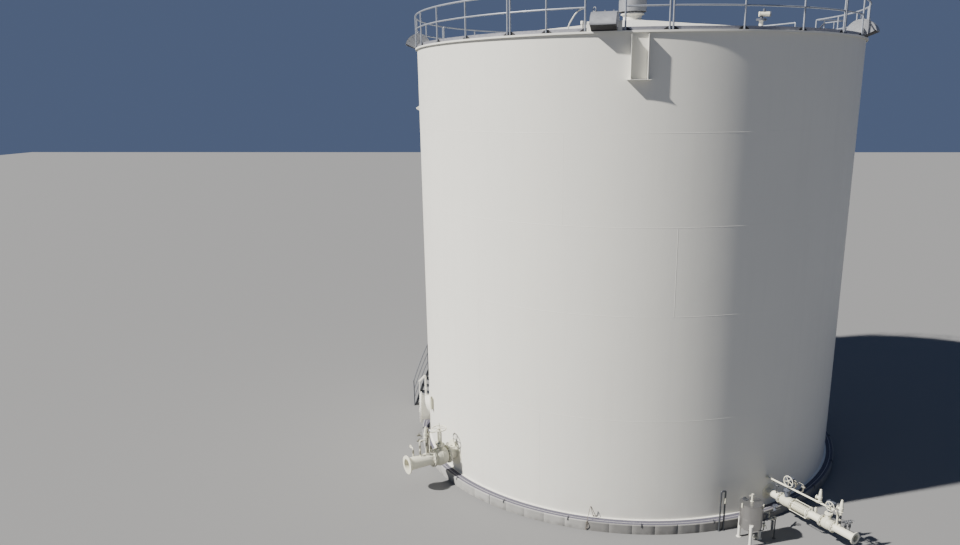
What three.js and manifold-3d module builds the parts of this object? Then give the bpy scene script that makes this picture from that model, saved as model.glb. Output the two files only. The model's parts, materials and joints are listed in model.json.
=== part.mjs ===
// Vertical storage tank on a concrete ringwall, with rim vents, a roof rail, a spiral stair and its shell valves.
// Millimetres, +Z up. The origin is on the tank's axis at ground level. An azimuth is measured from -Y towards +X.

import * as THREE from 'three';
import { mergeVertices } from 'three/addons/utils/BufferGeometryUtils.js';
import Module from 'manifold-3d';

const wasm = await Module();
wasm.setup();

// Driving dimensions
const FOOT = 304.8;
const INCH = 25.4;
const SEAT = 0.3;
const SIDES = 48;
const BAR_SIDES = 4;

const shellRadius = 23.5 * FOOT;
const courseHeights = [10, 10, 8, 8, 8 + 1 / 6].map((feet) => feet * FOOT);
const courseThicknesses = [8, 8, 6.4, 6.4, 6.4];
const ringwall = { outer: shellRadius + FOOT, width: 2 * FOOT, height: 290 };
const bottomPlate = { overhang: 60, thickness: 9.4 };
const topAngle = { leg: 76, overhang: 60, thickness: 9.5, edge: 48 };
const toePlate = { outer: shellRadius + 1, thickness: 6.5, height: 3.5 * INCH };
const roof = { slope: 1.5 / 12, thickness: 4.8 };

const shellBase = ringwall.height + SEAT + bottomPlate.thickness + SEAT;
const shellTop = shellBase + courseHeights.reduce((sum, height) => sum + height, 0);
const lipTop = shellTop + topAngle.thickness;
const roofEdge = toePlate.outer - toePlate.thickness - SEAT;
const roofUnderside = (radius) => lipTop + SEAT + roof.slope * (roofEdge - radius);

const centreVent = { radius: 305, wall: 9.5, flangeRadius: 385, flangeTop: 14835, hoodRadius: 455, hoodBase: 14900,
  hoodHeight: 400 };
const rimVent = { count: 5, firstAzimuth: -5.45, width: 655, radius: 420, axisRadius: 7120, axisRise: 50, sheet: 5,
  wingFrom: 15, wingTo: 118, wingHeight: 240 };

const rail = { radius: shellRadius + 32, pipe: 24, top: 990, middle: 568 };
// Post azimuths of the roof rail's six lengths; a true second value leaves out the middle rail after that post
const railLengths = [
  [[-26.0], [-17.5], [-9.3, true], [-1.3], [7.3]],
  [[8.0], [22.5], [37.0], [51.1]],
  [[51.8], [62.5, true], [70.4], [82.0], [93.5], [105.0], [115.4]],
  [[124.0], [134.5, true], [142.4], [154.3], [166.2], [178.1], [190.0]],
  [[190.7], [206.5, true], [214.4], [226.2], [238.0], [253.9]],
  [[254.6], [266.6], [278.6, true], [286.5], [297.3], [309.0], [321.0], [333.3]],
];

const stair = {
  footAzimuth: -97, landingAzimuth: -237.5, flights: 4, risersPerFlight: 17, slope: 42,
  innerRadius: 7460, outerRadius: 8370, plate: 10, stringerAbove: 90, stringerBelow: 240,
  treadThickness: 32, treadOverlap: 1.08, topLevel: 13690, railRises: [1067, 710, 355], spans: 6,
};
const landing = { start: 115.7, innerRadius: shellRadius + topAngle.overhang + 8 };

const bracket = { azimuth: 1.65, spacing: 420, depth: 200, bottom: 12600, top: 13680, shelfWidth: 605, plate: 12 };

const inlet = { azimuth: -48.4, height: 900, pipe: 203, flange: 298, wall: 9.5, sides: 20, joints: [7430, 7980, 8900] };
const outlet = { azimuth: 38.3, height: 700, pipe: 109.5, flange: 171.5, wall: 8.2, sides: 16,
  joints: [7640, 8070, 8660, 9090, 9460, 10150] };
const manway = { azimuth: -77.3, height: 1070, pipe: 457, flange: 585, reach: 340, wall: 9.5, sides: 20 };
const vessel = { azimuth: 26.9, distance: 8180, radius: 310, bottom: 460, top: 1210, legRadius: 42 };
const breather = { azimuth: 23.4, pipe: 25, spacing: 135, top: 1250 };
const gauge = { azimuth: 130.2, distance: 6200, flangeTop: 14900, headHeight: 15090 };

// Surface finishes
const finish = (color, roughness, metalness) => new THREE.MeshStandardMaterial({ color, roughness, metalness });
const creamPaint = finish(0xdcdbd0, 0.5, 0.0);
const concrete = finish(0x9c9b97, 0.9, 0.0);
const fill = finish(0x8b8474, 1.0, 0.0);
const galvanised = finish(0x9aa3ab, 0.45, 0.7);
const stainless = finish(0x8d8a86, 0.35, 0.9);
const darkSteel = finish(0x4a4d52, 0.6, 0.5);

// Places
const RAD = Math.PI / 180;
const polar = (radius, azimuth, z) => new THREE.Vector3(
  radius * Math.sin(azimuth * RAD), -radius * Math.cos(azimuth * RAD), z);
const span = (from, to, steps) => Array.from({ length: steps + 1 }, (_, i) => from + (to - from) * i / steps);

// Geometry helpers
function outlineArea(points) {
  return points.reduce((sum, [x, y], i) => {
    const [nextX, nextY] = points[(i + 1) % points.length];
    return sum + (x * nextY - nextX * y) / 2;
  }, 0);
}

function body(positions, index) {
  const raw = new THREE.BufferGeometry();
  raw.setAttribute('position', new THREE.Float32BufferAttribute(positions, 3));
  raw.setIndex(index);
  return closed(raw);
}

// Merges shared corners, drops flat triangles and turns every face outwards
function closed(geometry) {
  const bare = geometry.clone();
  bare.deleteAttribute('normal');
  bare.deleteAttribute('uv');
  const merged = mergeVertices(bare, 1e-3);
  const position = merged.getAttribute('position');
  const corner = (i) => new THREE.Vector3().fromBufferAttribute(position, i);
  const triangles = [];
  let volume = 0;
  for (let i = 0; i < merged.index.count; i += 3) {
    const [a, b, c] = [0, 1, 2].map((k) => merged.index.getX(i + k));
    if (a !== b && b !== c && c !== a) {
      triangles.push([a, b, c]);
      volume += corner(a).dot(corner(b).cross(corner(c)));
    }
  }
  merged.setIndex(triangles.flatMap(([a, b, c]) => (volume > 0 ? [a, b, c] : [a, c, b])));
  return merged;
}

// An outline of [u, v] points carried through a list of stations, each of which places (u, v) in space
function swept(outline, stations, loop = false) {
  const count = outline.length;
  const positions = stations.flatMap((station) => outline.flatMap(([u, v]) => station(u, v).toArray()));
  const index = [];
  const spans = loop ? stations.length : stations.length - 1;
  for (let s = 0; s < spans; s += 1) {
    const here = s * count;
    const there = ((s + 1) % stations.length) * count;
    for (let i = 0; i < count; i += 1) {
      const j = (i + 1) % count;
      index.push(here + i, here + j, there + j, here + i, there + j, there + i);
    }
  }
  if (!loop) {
    const flat = outline.map(([u, v]) => new THREE.Vector2(u, v));
    const turn = Math.sign(outlineArea(outline));
    const last = (stations.length - 1) * count;
    for (const [a, b, c] of THREE.ShapeUtils.triangulateShape(flat, [])) {
      const same = Math.sign(outlineArea([outline[a], outline[b], outline[c]])) === turn;
      const [p, q, r] = same ? [a, b, c] : [a, c, b];
      index.push(p, r, q, last + p, last + q, last + r);
    }
  }
  return body(positions, index);
}

// A ring or an arc of a [radius, z] outline round the tank's axis
function revolved(outline, from = 0, to = 360, steps = SIDES) {
  const whole = to - from === 360;
  const angles = span(from, to, steps).slice(0, whole ? -1 : undefined);
  return swept(outline, angles.map((azimuth) => (radius, z) => polar(radius, azimuth, z)), whole);
}

const rectangle = (u0, u1, v0, v1) => [[u0, v0], [u1, v0], [u1, v1], [u0, v1]];
const disc = (radius, sides) => span(0, 360, sides).slice(0, -1).map(
  (angle) => [radius * Math.cos(angle * RAD), radius * Math.sin(angle * RAD)]);

function box(x0, x1, y0, y1, z0, z1) {
  const geometry = new THREE.BoxGeometry(x1 - x0, y1 - y0, z1 - z0);
  return closed(geometry.translate((x0 + x1) / 2, (y0 + y1) / 2, (z0 + z1) / 2));
}

// A straight round bar between two points
function bar(start, end, radius, sides = 8) {
  const axis = end.clone().sub(start);
  const geometry = new THREE.CylinderGeometry(radius, radius, axis.length(), sides);
  geometry.applyQuaternion(new THREE.Quaternion().setFromUnitVectors(
    new THREE.Vector3(0, 1, 0), axis.clone().normalize()));
  return closed(geometry.translate(...start.clone().add(end).multiplyScalar(0.5).toArray()));
}

// A round pipe through a list of points, mitred at each of them
function pipe(points, radius, sides = 8) {
  const up = new THREE.Vector3(0, 0, 1);
  const stations = points.map((point, i) => {
    const before = point.clone().sub(points[Math.max(i - 1, 0)]).normalize();
    const after = points[Math.min(i + 1, points.length - 1)].clone().sub(point).normalize();
    const forward = before.clone().add(after).normalize();
    const reference = Math.abs(forward.z) > 0.9 ? new THREE.Vector3(1, 0, 0) : up;
    const across = reference.clone().cross(forward).normalize();
    const rise = forward.clone().cross(across).normalize();
    return (u, v) => point.clone().addScaledVector(across, u).addScaledVector(rise, v);
  });
  return swept(disc(radius, sides), stations);
}

// Booleans
function solid(geometry) {
  const merged = closed(geometry);
  return new wasm.Manifold(new wasm.Mesh({
    numProp: 3,
    vertProperties: new Float32Array(merged.getAttribute('position').array),
    triVerts: new Uint32Array(merged.index.array),
  }));
}

function shape(manifold) {
  const mesh = manifold.getMesh();
  return body(Array.from(mesh.vertProperties), Array.from(mesh.triVerts));
}

const joined = (...pieces) => shape(pieces.flat(2).map(solid).reduce((sum, piece) => sum.add(piece)));
const cut = (piece, ...tools) => shape(
  tools.flat().map(solid).reduce((rest, tool) => rest.subtract(tool), solid(piece)));
const turned = (geometry, azimuth) => geometry.clone().rotateZ(azimuth * RAD);
const moved = (geometry, x, y, z) => geometry.clone().translate(x, y, z);

// A [radius, reach] outline turned about an axis that points outwards, which is -Y before the piece is turned
function turnedOutwards(outline, height, sides) {
  const stations = span(0, 360, sides).slice(0, -1).map((angle) => (radius, reach) => new THREE.Vector3(
    radius * Math.cos(angle * RAD), -reach, height + radius * Math.sin(angle * RAD)));
  return swept(outline, stations, true);
}

// A plain round bar along the same axis
function rod(radius, from, to, height, sides) {
  return swept(disc(radius, sides), [from, to].map((reach) => (x, z) => new THREE.Vector3(x, -reach, height + z)));
}

// The same for a solid, whose outline starts and ends on the axis
function latheOutwards(outline, height, sides) {
  const points = outline.map(([radius, reach]) => new THREE.Vector2(radius, reach));
  return moved(closed(new THREE.LatheGeometry(points, sides)).rotateX(Math.PI), 0, 0, height);
}

const shellCutter = revolved(rectangle(shellRadius - 500, shellRadius + SEAT, shellBase - 20, shellTop + 300));
const groundCutter = box(-20000, 20000, -20000, 20000, -2000, 0);
const ringwallCutter = revolved(rectangle(
  ringwall.outer - 200, ringwall.outer + SEAT, -100, ringwall.height + SEAT));
const stairSeatCutter = revolved(rectangle(
  ringwall.outer - 200, ringwall.outer + 60, -100, ringwall.height + SEAT));

const tank = new THREE.Group();
function add(name, geometry, material, parent = tank) {
  const mesh = new THREE.Mesh(geometry, material);
  mesh.name = name;
  parent.add(mesh);
  return mesh;
}

// Foundation
function foundation() {
  const inner = ringwall.outer - ringwall.width;
  add('ringwall', revolved(rectangle(inner, ringwall.outer, 0, ringwall.height)), concrete);
  const pad = new THREE.CylinderGeometry(inner - SEAT, inner - SEAT, ringwall.height, SIDES);
  add('foundation_fill', closed(pad.rotateX(Math.PI / 2).translate(0, 0, ringwall.height / 2)), fill);
}

// Shell and bottom
function boredFor(geometry, fitting) {
  const hole = rod(fitting.pipe + SEAT, shellRadius - 300, shellRadius + 100, fitting.height, fitting.sides);
  return cut(geometry, turned(hole, fitting.azimuth));
}

function shell() {
  const plateRadius = shellRadius + bottomPlate.overhang;
  const plate = new THREE.CylinderGeometry(plateRadius, plateRadius, bottomPlate.thickness, SIDES);
  const plateMiddle = ringwall.height + SEAT + bottomPlate.thickness / 2;
  add('bottom_plate', closed(plate.rotateX(Math.PI / 2).translate(0, 0, plateMiddle)), creamPaint);

  let level = shellBase;
  courseHeights.forEach((height, i) => {
    const wall = rectangle(shellRadius - courseThicknesses[i], shellRadius, level, level + height - SEAT);
    const ring = revolved(wall);
    const course = i === 0 ? [inlet, outlet, manway].reduce(boredFor, ring) : ring;
    add(`shell_course_${i + 1}`, course, creamPaint);
    level += height;
  });
}

// Rim and roof
function rim() {
  const legOuter = shellRadius - courseThicknesses[4] - SEAT;
  const innerFace = legOuter - topAngle.thickness;
  const outerEdge = shellRadius + topAngle.overhang;
  add('top_angle', revolved([
    [innerFace, shellTop - topAngle.leg + topAngle.thickness], [legOuter, shellTop - topAngle.leg + topAngle.thickness],
    [legOuter, shellTop], [outerEdge - topAngle.thickness, shellTop],
    [outerEdge - topAngle.thickness, lipTop - topAngle.edge], [outerEdge, lipTop - topAngle.edge],
    [outerEdge, lipTop], [innerFace, lipTop],
  ]), creamPaint);
  const toeBase = lipTop + SEAT;
  add('toe_plate', revolved(rectangle(
    toePlate.outer - toePlate.thickness, toePlate.outer, toeBase, toeBase + toePlate.height)), creamPaint);
  const eye = centreVent.radius + 1;
  add('roof_plates', revolved([
    [roofEdge, roofUnderside(roofEdge)], [roofEdge, roofUnderside(roofEdge) + roof.thickness],
    [eye, roofUnderside(eye) + roof.thickness], [eye, roofUnderside(eye)],
  ]), creamPaint);
}

function centreVentPieces() {
  const { radius, wall, flangeRadius, flangeTop, hoodRadius, hoodBase, hoodHeight } = centreVent;
  const neckBase = roofUnderside(radius) - 40;
  add('centre_vent_neck', revolved([
    [radius - wall, neckBase], [radius, neckBase], [radius, flangeTop - 25], [flangeRadius, flangeTop - 25],
    [flangeRadius, flangeTop], [radius - wall, flangeTop],
  ], 0, 360, 20), creamPaint);

  const seat = flangeTop + SEAT;
  const hoodTop = hoodBase + hoodHeight;
  const riser = revolved([
    [radius - wall, seat], [flangeRadius, seat], [flangeRadius, seat + 22], [radius, seat + 22],
    [radius, hoodTop - 90], [radius - wall, hoodTop - 90],
  ], 0, 360, 20);
  const capProfile = [
    [0, hoodTop + 120], [hoodRadius, hoodTop], [hoodRadius, hoodBase], [hoodRadius - 6, hoodBase],
    [hoodRadius - 6, hoodTop - 6], [0, hoodTop + 112],
  ].map(([r, z]) => new THREE.Vector2(r, z));
  const cap = closed(new THREE.LatheGeometry(capProfile, 20).rotateX(Math.PI / 2));
  const ribs = [0, 90, 180, 270].map((angle) => turned(
    box(-5, 5, -hoodRadius + 3, -radius + 5, hoodTop - 240, hoodTop - 120), angle + 45));
  add('centre_vent_hood', joined(riser, cap, ribs), galvanised);
}

// The space that the rim fills, with its seat, so that whatever stands on the rim is cut to it
function rimCutter() {
  const gap = SEAT;
  const low = shellTop - 200;
  const skin = (radius) => roofUnderside(radius) + roof.thickness + gap;
  const toeTop = lipTop + SEAT + toePlate.height + gap;
  return revolved([
    [5500, low], [shellRadius + topAngle.overhang + gap, low], [shellRadius + topAngle.overhang + gap, lipTop + gap],
    [toePlate.outer + gap, lipTop + gap], [toePlate.outer + gap, toeTop], [roofEdge, toeTop],
    [roofEdge, skin(roofEdge)], [5500, skin(5500)],
  ]);
}

function rimVents() {
  const axisHeight = lipTop + rimVent.axisRise;
  const arc = (radius) => span(186, 15, 10).map((angle) => [
    rimVent.axisRadius + radius * Math.cos(angle * RAD), axisHeight + radius * Math.sin(angle * RAD)]);
  const across = (halfWidth) => [-halfWidth, halfWidth].map((x) => (reach, z) => new THREE.Vector3(x, -reach, z));
  const half = rimVent.width / 2;
  const foot = lipTop + SEAT;
  const outer = swept([...arc(rimVent.radius), [shellRadius + topAngle.overhang - 30, foot],
    [rimVent.axisRadius - rimVent.radius, foot]], across(half));
  const inner = swept([[rimVent.axisRadius - rimVent.radius + rimVent.sheet, foot - 50],
    ...arc(rimVent.radius - rimVent.sheet), [rimVent.axisRadius + 480, axisHeight],
    [rimVent.axisRadius + 480, foot - 50]], across(half - rimVent.sheet));
  const wingFace = toePlate.outer + 9;
  const wings = [-1, 1].flatMap((side) => {
    const plate = (near, far, rise) => box(
      Math.min(side * near, side * far), Math.max(side * near, side * far), -wingFace - 8, -wingFace,
      foot, foot + rise);
    return [plate(half + rimVent.wingFrom, half + rimVent.wingTo, rimVent.wingHeight),
      plate(half - rimVent.sheet, half + rimVent.wingFrom + 3, 60)];
  });
  const hood = joined(cut(outer, inner), wings);
  const cutter = rimCutter();
  for (let i = 0; i < rimVent.count; i += 1) {
    const azimuth = rimVent.firstAzimuth + 360 * i / rimVent.count;
    add(`rim_vent_${i + 1}`, cut(turned(hood, azimuth), cutter), galvanised);
  }
}

// Roof rail
function railArc(radius, azimuths, height, pipeRadius) {
  return pipe(azimuths.map((azimuth) => polar(radius, azimuth, height)), pipeRadius, BAR_SIDES);
}

function roofRail() {
  const base = lipTop + SEAT;
  railLengths.forEach((posts, i) => {
    const azimuths = posts.map(([azimuth]) => azimuth);
    const pieces = azimuths.map((azimuth) => bar(
      polar(rail.radius, azimuth, base), polar(rail.radius, azimuth, base + rail.top), rail.pipe, BAR_SIDES));
    const bays = posts.slice(0, -1).map(([azimuth, gap], j) => {
      const next = azimuths[j + 1];
      return { gap, points: span(azimuth, next, Math.ceil((next - azimuth) / 9)) };
    });
    const whole = [...bays.flatMap(({ points }) => points.slice(0, -1)), azimuths.at(-1)];
    pieces.push(railArc(rail.radius, whole, base + rail.top, rail.pipe));
    bays.filter(({ gap }) => !gap).forEach(({ points }) => {
      pieces.push(railArc(rail.radius, points, base + rail.middle, rail.pipe - 3));
    });
    add(`roof_rail_${i + 1}`, joined(pieces), galvanised);
  });
}

// Gauge on the roof
function gaugePieces() {
  const { azimuth, distance, flangeTop, headHeight } = gauge;
  const place = polar(distance, azimuth, 0);
  const base = roofUnderside(distance) + roof.thickness;
  const upright = (from, to, radius) => bar(
    place.clone().setZ(from), place.clone().setZ(to), radius, 16);
  const stand = joined(upright(base - 60, flangeTop - 40, 75), upright(flangeTop - 50, flangeTop, 190));
  const roofSkin = revolved([
    [distance - 400, base - 300], [distance + 400, base - 300],
    [distance + 400, roofUnderside(distance + 400) + roof.thickness + SEAT],
    [distance - 400, roofUnderside(distance - 400) + roof.thickness + SEAT]]);
  add('gauge_stand', cut(stand, roofSkin), creamPaint);
  const side = new THREE.Vector3(1, 0, 0);
  const headPoint = (offset, z) => place.clone().setZ(z).addScaledVector(side, offset);
  const head = joined(
    upright(flangeTop + SEAT, flangeTop + 26, 190), upright(flangeTop + 20, headHeight, 60),
    bar(headPoint(-100, headHeight), headPoint(330, headHeight), 95, 16),
    bar(headPoint(85, headHeight), headPoint(85, headHeight + 190), 48, 16));
  add('gauge_head', head, creamPaint);
}

// Shell bracket under the rim
function shellBracket() {
  const { azimuth, spacing, depth, bottom, top, shelfWidth, plate } = bracket;
  const back = -(shellRadius - 60);
  const front = -(shellRadius + depth);
  const fins = [-1, 1].map((side) => box(
    side * spacing / 2 - plate / 2, side * spacing / 2 + plate / 2, front, back, bottom, top));
  const shelf = box(-shelfWidth / 2, shelfWidth / 2, front - 12, back, bottom - plate, bottom + 4);
  add('shell_bracket', cut(turned(joined(fins, shelf), azimuth), shellCutter), creamPaint);
}

// Spiral stair, which climbs as its azimuth falls
const riser = stair.topLevel / (stair.flights * stair.risersPerFlight);
const middleRadius = (stair.innerRadius + stair.outerRadius) / 2;
const treadAngle = riser / Math.tan(stair.slope * RAD) / middleRadius / RAD;
const flightAngle = stair.risersPerFlight * treadAngle;
const restAngle = (stair.footAzimuth - stair.landingAzimuth - stair.flights * flightAngle) / (stair.flights - 1);
const nodeGap = 0.004;

function flightPlan(flight) {
  const start = stair.footAzimuth - flight * (flightAngle + restAngle);
  const level = flight * stair.risersPerFlight * riser;
  const topLevel = level + stair.risersPerFlight * riser;
  const restStart = start - flightAngle;
  const last = flight === stair.flights - 1;
  const slope = span(0, 1, stair.spans).map((t) => ({
    azimuth: start - flightAngle * t, z: level + (topLevel - level) * t }));
  const rest = last ? [] : [restStart - restAngle / 2, restStart - restAngle + nodeGap].map(
    (azimuth) => ({ azimuth, z: topLevel }));
  return { start, level, topLevel, restStart, restEnd: restStart - restAngle, last, slope, rest };
}

const stringer = (radius, line) => swept(
  rectangle(radius - stair.plate / 2, radius + stair.plate / 2, -stair.stringerBelow, stair.stringerAbove),
  line.map(({ azimuth, z }) => (reach, offset) => polar(reach, azimuth, z + offset)));

function stairBracket(azimuth, level) {
  const wall = shellRadius - 40;
  const crossbar = box(-30, 30, -(stair.outerRadius - 5), -wall, level - 130, level - 70);
  const strut = swept(rectangle(-22, 22, -30, 30), [[wall, level - 950], [stair.outerRadius - 60, level - 110]]
    .map(([reach, z]) => (x, along) => new THREE.Vector3(x, -reach, z + along)));
  return [crossbar, strut].map((piece) => turned(piece, azimuth));
}

function stairFlight(flight) {
  const { start, level, topLevel, restStart, restEnd, last, slope, rest } = flightPlan(flight);
  const inner = stair.innerRadius - 3;
  const outer = stair.outerRadius - 3;
  const plate = (z) => rectangle(inner, outer, z - stair.treadThickness, z);
  const firstStep = flight === 0 ? 1 : 0;
  const lastStep = stair.risersPerFlight - 1;
  const treads = span(firstStep, lastStep, lastStep - firstStep).map((step) => {
    const nosing = start - step * treadAngle;
    const back = Math.max(nosing - stair.treadOverlap * treadAngle, restStart + nodeGap);
    return revolved(plate(level + step * riser), back, nosing, 1);
  });
  const pieces = [stair.innerRadius, stair.outerRadius].map((radius) => stringer(radius, [...slope, ...rest]));
  pieces.push(...treads, ...stairBracket(start - flightAngle * 0.5, (level + topLevel) / 2));
  if (!last) {
    pieces.push(revolved(plate(topLevel), restEnd + nodeGap, restStart, 2));
    [0.15, 0.85].forEach((t) => pieces.push(...stairBracket(restStart - restAngle * t, topLevel)));
  }
  const name = `stair_flight_${flight + 1}`;
  add(name, cut(joined(pieces), shellCutter, stairSeatCutter, groundCutter), galvanised);
}

// A rail post whose edge just clears the stringer behind it
const stairRailRadius = stair.outerRadius + stair.plate / 2 + SEAT + rail.pipe;
const upright = (radius, azimuth, low, high, offset = 0) => turned(bar(
  new THREE.Vector3(offset, -radius, low), new THREE.Vector3(offset, -radius, high), rail.pipe, BAR_SIDES), azimuth);
const railEndAngle = (rail.pipe + 2) / stairRailRadius / RAD;

function stairRail(flight) {
  const { slope, rest, last } = flightPlan(flight);
  const posts = slope.filter((_, i) => i % 2 === 0).map(({ azimuth, z }) => upright(
    stairRailRadius, azimuth, Math.max(z - 150, 0), z + stair.railRises[0]));
  const line = last ? slope : [...slope, rest[0], { ...rest[1], azimuth: rest[1].azimuth + railEndAngle }];
  const rails = stair.railRises.map((rise) => pipe(
    line.map(({ azimuth, z }) => polar(stairRailRadius, azimuth, z + rise)), rail.pipe - 3, BAR_SIDES));
  add(`stair_rail_${flight + 1}`, joined(posts, rails), galvanised);
}

function topLanding() {
  const { outerRadius, plate, treadThickness, stringerBelow, stringerAbove, topLevel: level } = stair;
  const from = landing.start;
  const to = stair.landingAzimuth + 360 - nodeGap;
  const corners = span(from, to, 2);
  const deck = revolved(rectangle(landing.innerRadius, outerRadius, level - treadThickness, level), from, to, 2);
  const fascia = revolved(rectangle(
    outerRadius - plate / 2, outerRadius + plate / 2, level - stringerBelow, level + stringerAbove), from, to, 2);
  const edge = revolved(rectangle(stair.innerRadius, outerRadius, level - stringerBelow, level - 10), from, from + 0.08, 1);
  const braces = [from + 0.4, to - 0.6].flatMap((azimuth) => stairBracket(azimuth, level));
  add('top_landing', cut(joined(deck, fascia, edge, braces), shellCutter), galvanised);

  const side = -(rail.pipe + SEAT);
  const innerPost = landing.innerRadius + 320;
  const postTop = level + stair.railRises[0];
  const posts = [
    upright(innerPost, from, level - 150, postTop, side),
    upright(stairRailRadius, from, level - 150, postTop, side),
    upright(stairRailRadius, corners[1], level - 150, postTop),
  ];
  const along = (radius, azimuth, z, offset) => new THREE.Vector3(offset, -radius, z).applyAxisAngle(
    new THREE.Vector3(0, 0, 1), azimuth * RAD);
  const rails = stair.railRises.map((rise) => pipe([
    along(innerPost - 240, from, level + rise, side), along(stairRailRadius, from, level + rise, side),
    along(stairRailRadius, corners[1], level + rise, 0), along(stairRailRadius, to - railEndAngle, level + rise, 0),
  ], rail.pipe - 3, BAR_SIDES));
  add('landing_rail', joined(posts, rails), galvanised);
}

// Shell fittings, built with their axis along -Y and then turned to their azimuth
function station(fitting) {
  const group = new THREE.Group();
  group.rotation.z = fitting.azimuth * RAD;
  tank.add(group);
  return group;
}

const flangeThickness = (fitting) => fitting.flange * 0.1 + 6;

function flangedTube(fitting, from, to, startFlange = true) {
  const { pipe: radius, wall, flange, height, sides } = fitting;
  const thick = flangeThickness(fitting);
  const start = startFlange ? [[flange, from], [flange, from + thick], [radius, from + thick]] : [[radius, from]];
  return turnedOutwards([
    [radius - wall, from], ...start, [radius, to - thick], [flange, to - thick], [flange, to], [radius - wall, to],
  ], height, sides);
}

function handwheel(name, hub, radius, group) {
  const rimTube = radius * 0.075;
  const ring = closed(new THREE.TorusGeometry(radius - rimTube, rimTube, 5, 16));
  const bush = cut(
    closed(new THREE.CylinderGeometry(radius * 0.19, radius * 0.19, 46, 8).rotateX(Math.PI / 2)),
    closed(new THREE.CylinderGeometry(14.8, 14.8, 80, 16).rotateX(Math.PI / 2)));
  const spokes = [0, 90, 180, 270].map((angle) => box(
    radius * 0.17, radius - rimTube, -radius * 0.045, radius * 0.045, -6, 6).rotateZ(angle * RAD));
  const wheel = add(name, joined(ring, bush, spokes), creamPaint, group);
  wheel.rotation.set(hub.tiltX ?? 0, hub.tiltY ?? 0, 0);
  wheel.position.set(hub.x, -hub.reach, hub.z);
  return wheel;
}

function valveBody(fitting, from, to) {
  const { pipe: radius, flange, height, sides } = fitting;
  const thick = flangeThickness(fitting);
  const middle = (from + to) / 2;
  const belly = ((to - from) / 2 - thick) * 0.45;
  return latheOutwards([
    [0, from], [flange, from], [flange, from + thick], [radius * 1.05, from + thick],
    [radius * 1.45, middle - belly], [radius * 1.45, middle + belly],
    [radius * 1.05, to - thick], [flange, to - thick], [flange, to], [0, to],
  ], height, sides);
}

const uprightBar = (x, reach, from, to, radius, sides = 12) => bar(
  new THREE.Vector3(x, -reach, from), new THREE.Vector3(x, -reach, to), radius, sides);

function outletTrain() {
  const group = station(outlet);
  const { pipe: tube, flange, wall, height, sides, joints } = outlet;
  add('outlet_nozzle', flangedTube(outlet, shellRadius - 60, joints[0] - SEAT, false), creamPaint, group);

  const wheelOffset = 120;
  const gearBox = (middle, wheelHeight) => [
    uprightBar(0, middle, height + tube - 20, (height + tube + wheelHeight) / 2 - 35, 85, 16),
    uprightBar(0, middle, height + tube, wheelHeight - 40, 42),
    box(-60, 60, -middle - wheelOffset - 60, -middle + 80, wheelHeight - 60, wheelHeight + 60),
    bar(new THREE.Vector3(-50, -middle - wheelOffset, wheelHeight),
      new THREE.Vector3(-190, -middle - wheelOffset, wheelHeight), 14, 16),
  ];
  const valve = (name, wheelName, from, to, wheelHeight, wheelRadius) => {
    const middle = (from + to) / 2;
    add(name, joined(valveBody(outlet, from, to), gearBox(middle, wheelHeight)), creamPaint, group);
    handwheel(
      wheelName, { x: -150, reach: middle + wheelOffset, z: wheelHeight, tiltY: Math.PI / 2 }, wheelRadius, group);
  };
  valve('outlet_valve_1', 'outlet_handwheel_1', joints[0], joints[1] - SEAT, 1420, 170);

  const waves = span(joints[1] + 90, joints[2] - 90, 6).map((reach, i) => [tube * (i % 2 ? 1.32 : 1.05), reach]);
  const thick = flangeThickness(outlet);
  const bore = tube - wall;
  add('outlet_expansion_joint', turnedOutwards([
    [bore, joints[1]], [flange, joints[1]], [flange, joints[1] + thick], [tube, joints[1] + thick], ...waves,
    [tube, joints[2] - SEAT - thick], [flange, joints[2] - SEAT - thick], [flange, joints[2] - SEAT],
    [bore, joints[2] - SEAT],
  ], height, sides), creamPaint, group);
  add('outlet_spool', flangedTube(outlet, joints[2], joints[3] - SEAT), creamPaint, group);
  valve('outlet_valve_2', 'outlet_handwheel_2', joints[3], joints[4] - SEAT, 1330, 140);
  add('outlet_pipe', flangedTube(outlet, joints[4], joints[5]), creamPaint, group);

  const drop = joints[4] + 100;
  const side = -100;
  const lineHeight = (reach) => 1200 + 60 * (reach - shellRadius) / (drop - shellRadius);
  const line = pipe([
    new THREE.Vector3(side, -(shellRadius - 60), lineHeight(shellRadius - 60)),
    new THREE.Vector3(side, -drop, lineHeight(drop)), new THREE.Vector3(-10, -drop, lineHeight(drop) - 160),
    new THREE.Vector3(-10, -drop, height + 60)], 25, 8);
  const reliefBody = (x, reach, from) => [
    uprightBar(x, reach, from, from + 190, 36), uprightBar(x, reach, from + 180, from + 400, 50)];
  const pipeCutter = turned(rod(tube + SEAT, joints[4], joints[5], height, sides), outlet.azimuth);
  const onPipe = (...pieces) => cut(turned(joined(pieces), outlet.azimuth), shellCutter, pipeCutter);
  add('relief_line', onPipe(line, reliefBody(side, 9030, lineHeight(9030))), creamPaint);
  add('relief_valve', onPipe(uprightBar(0, drop + 80, height + tube - 20, 1210, 22),
    reliefBody(0, drop + 80, 1200)), creamPaint);
}

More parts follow.
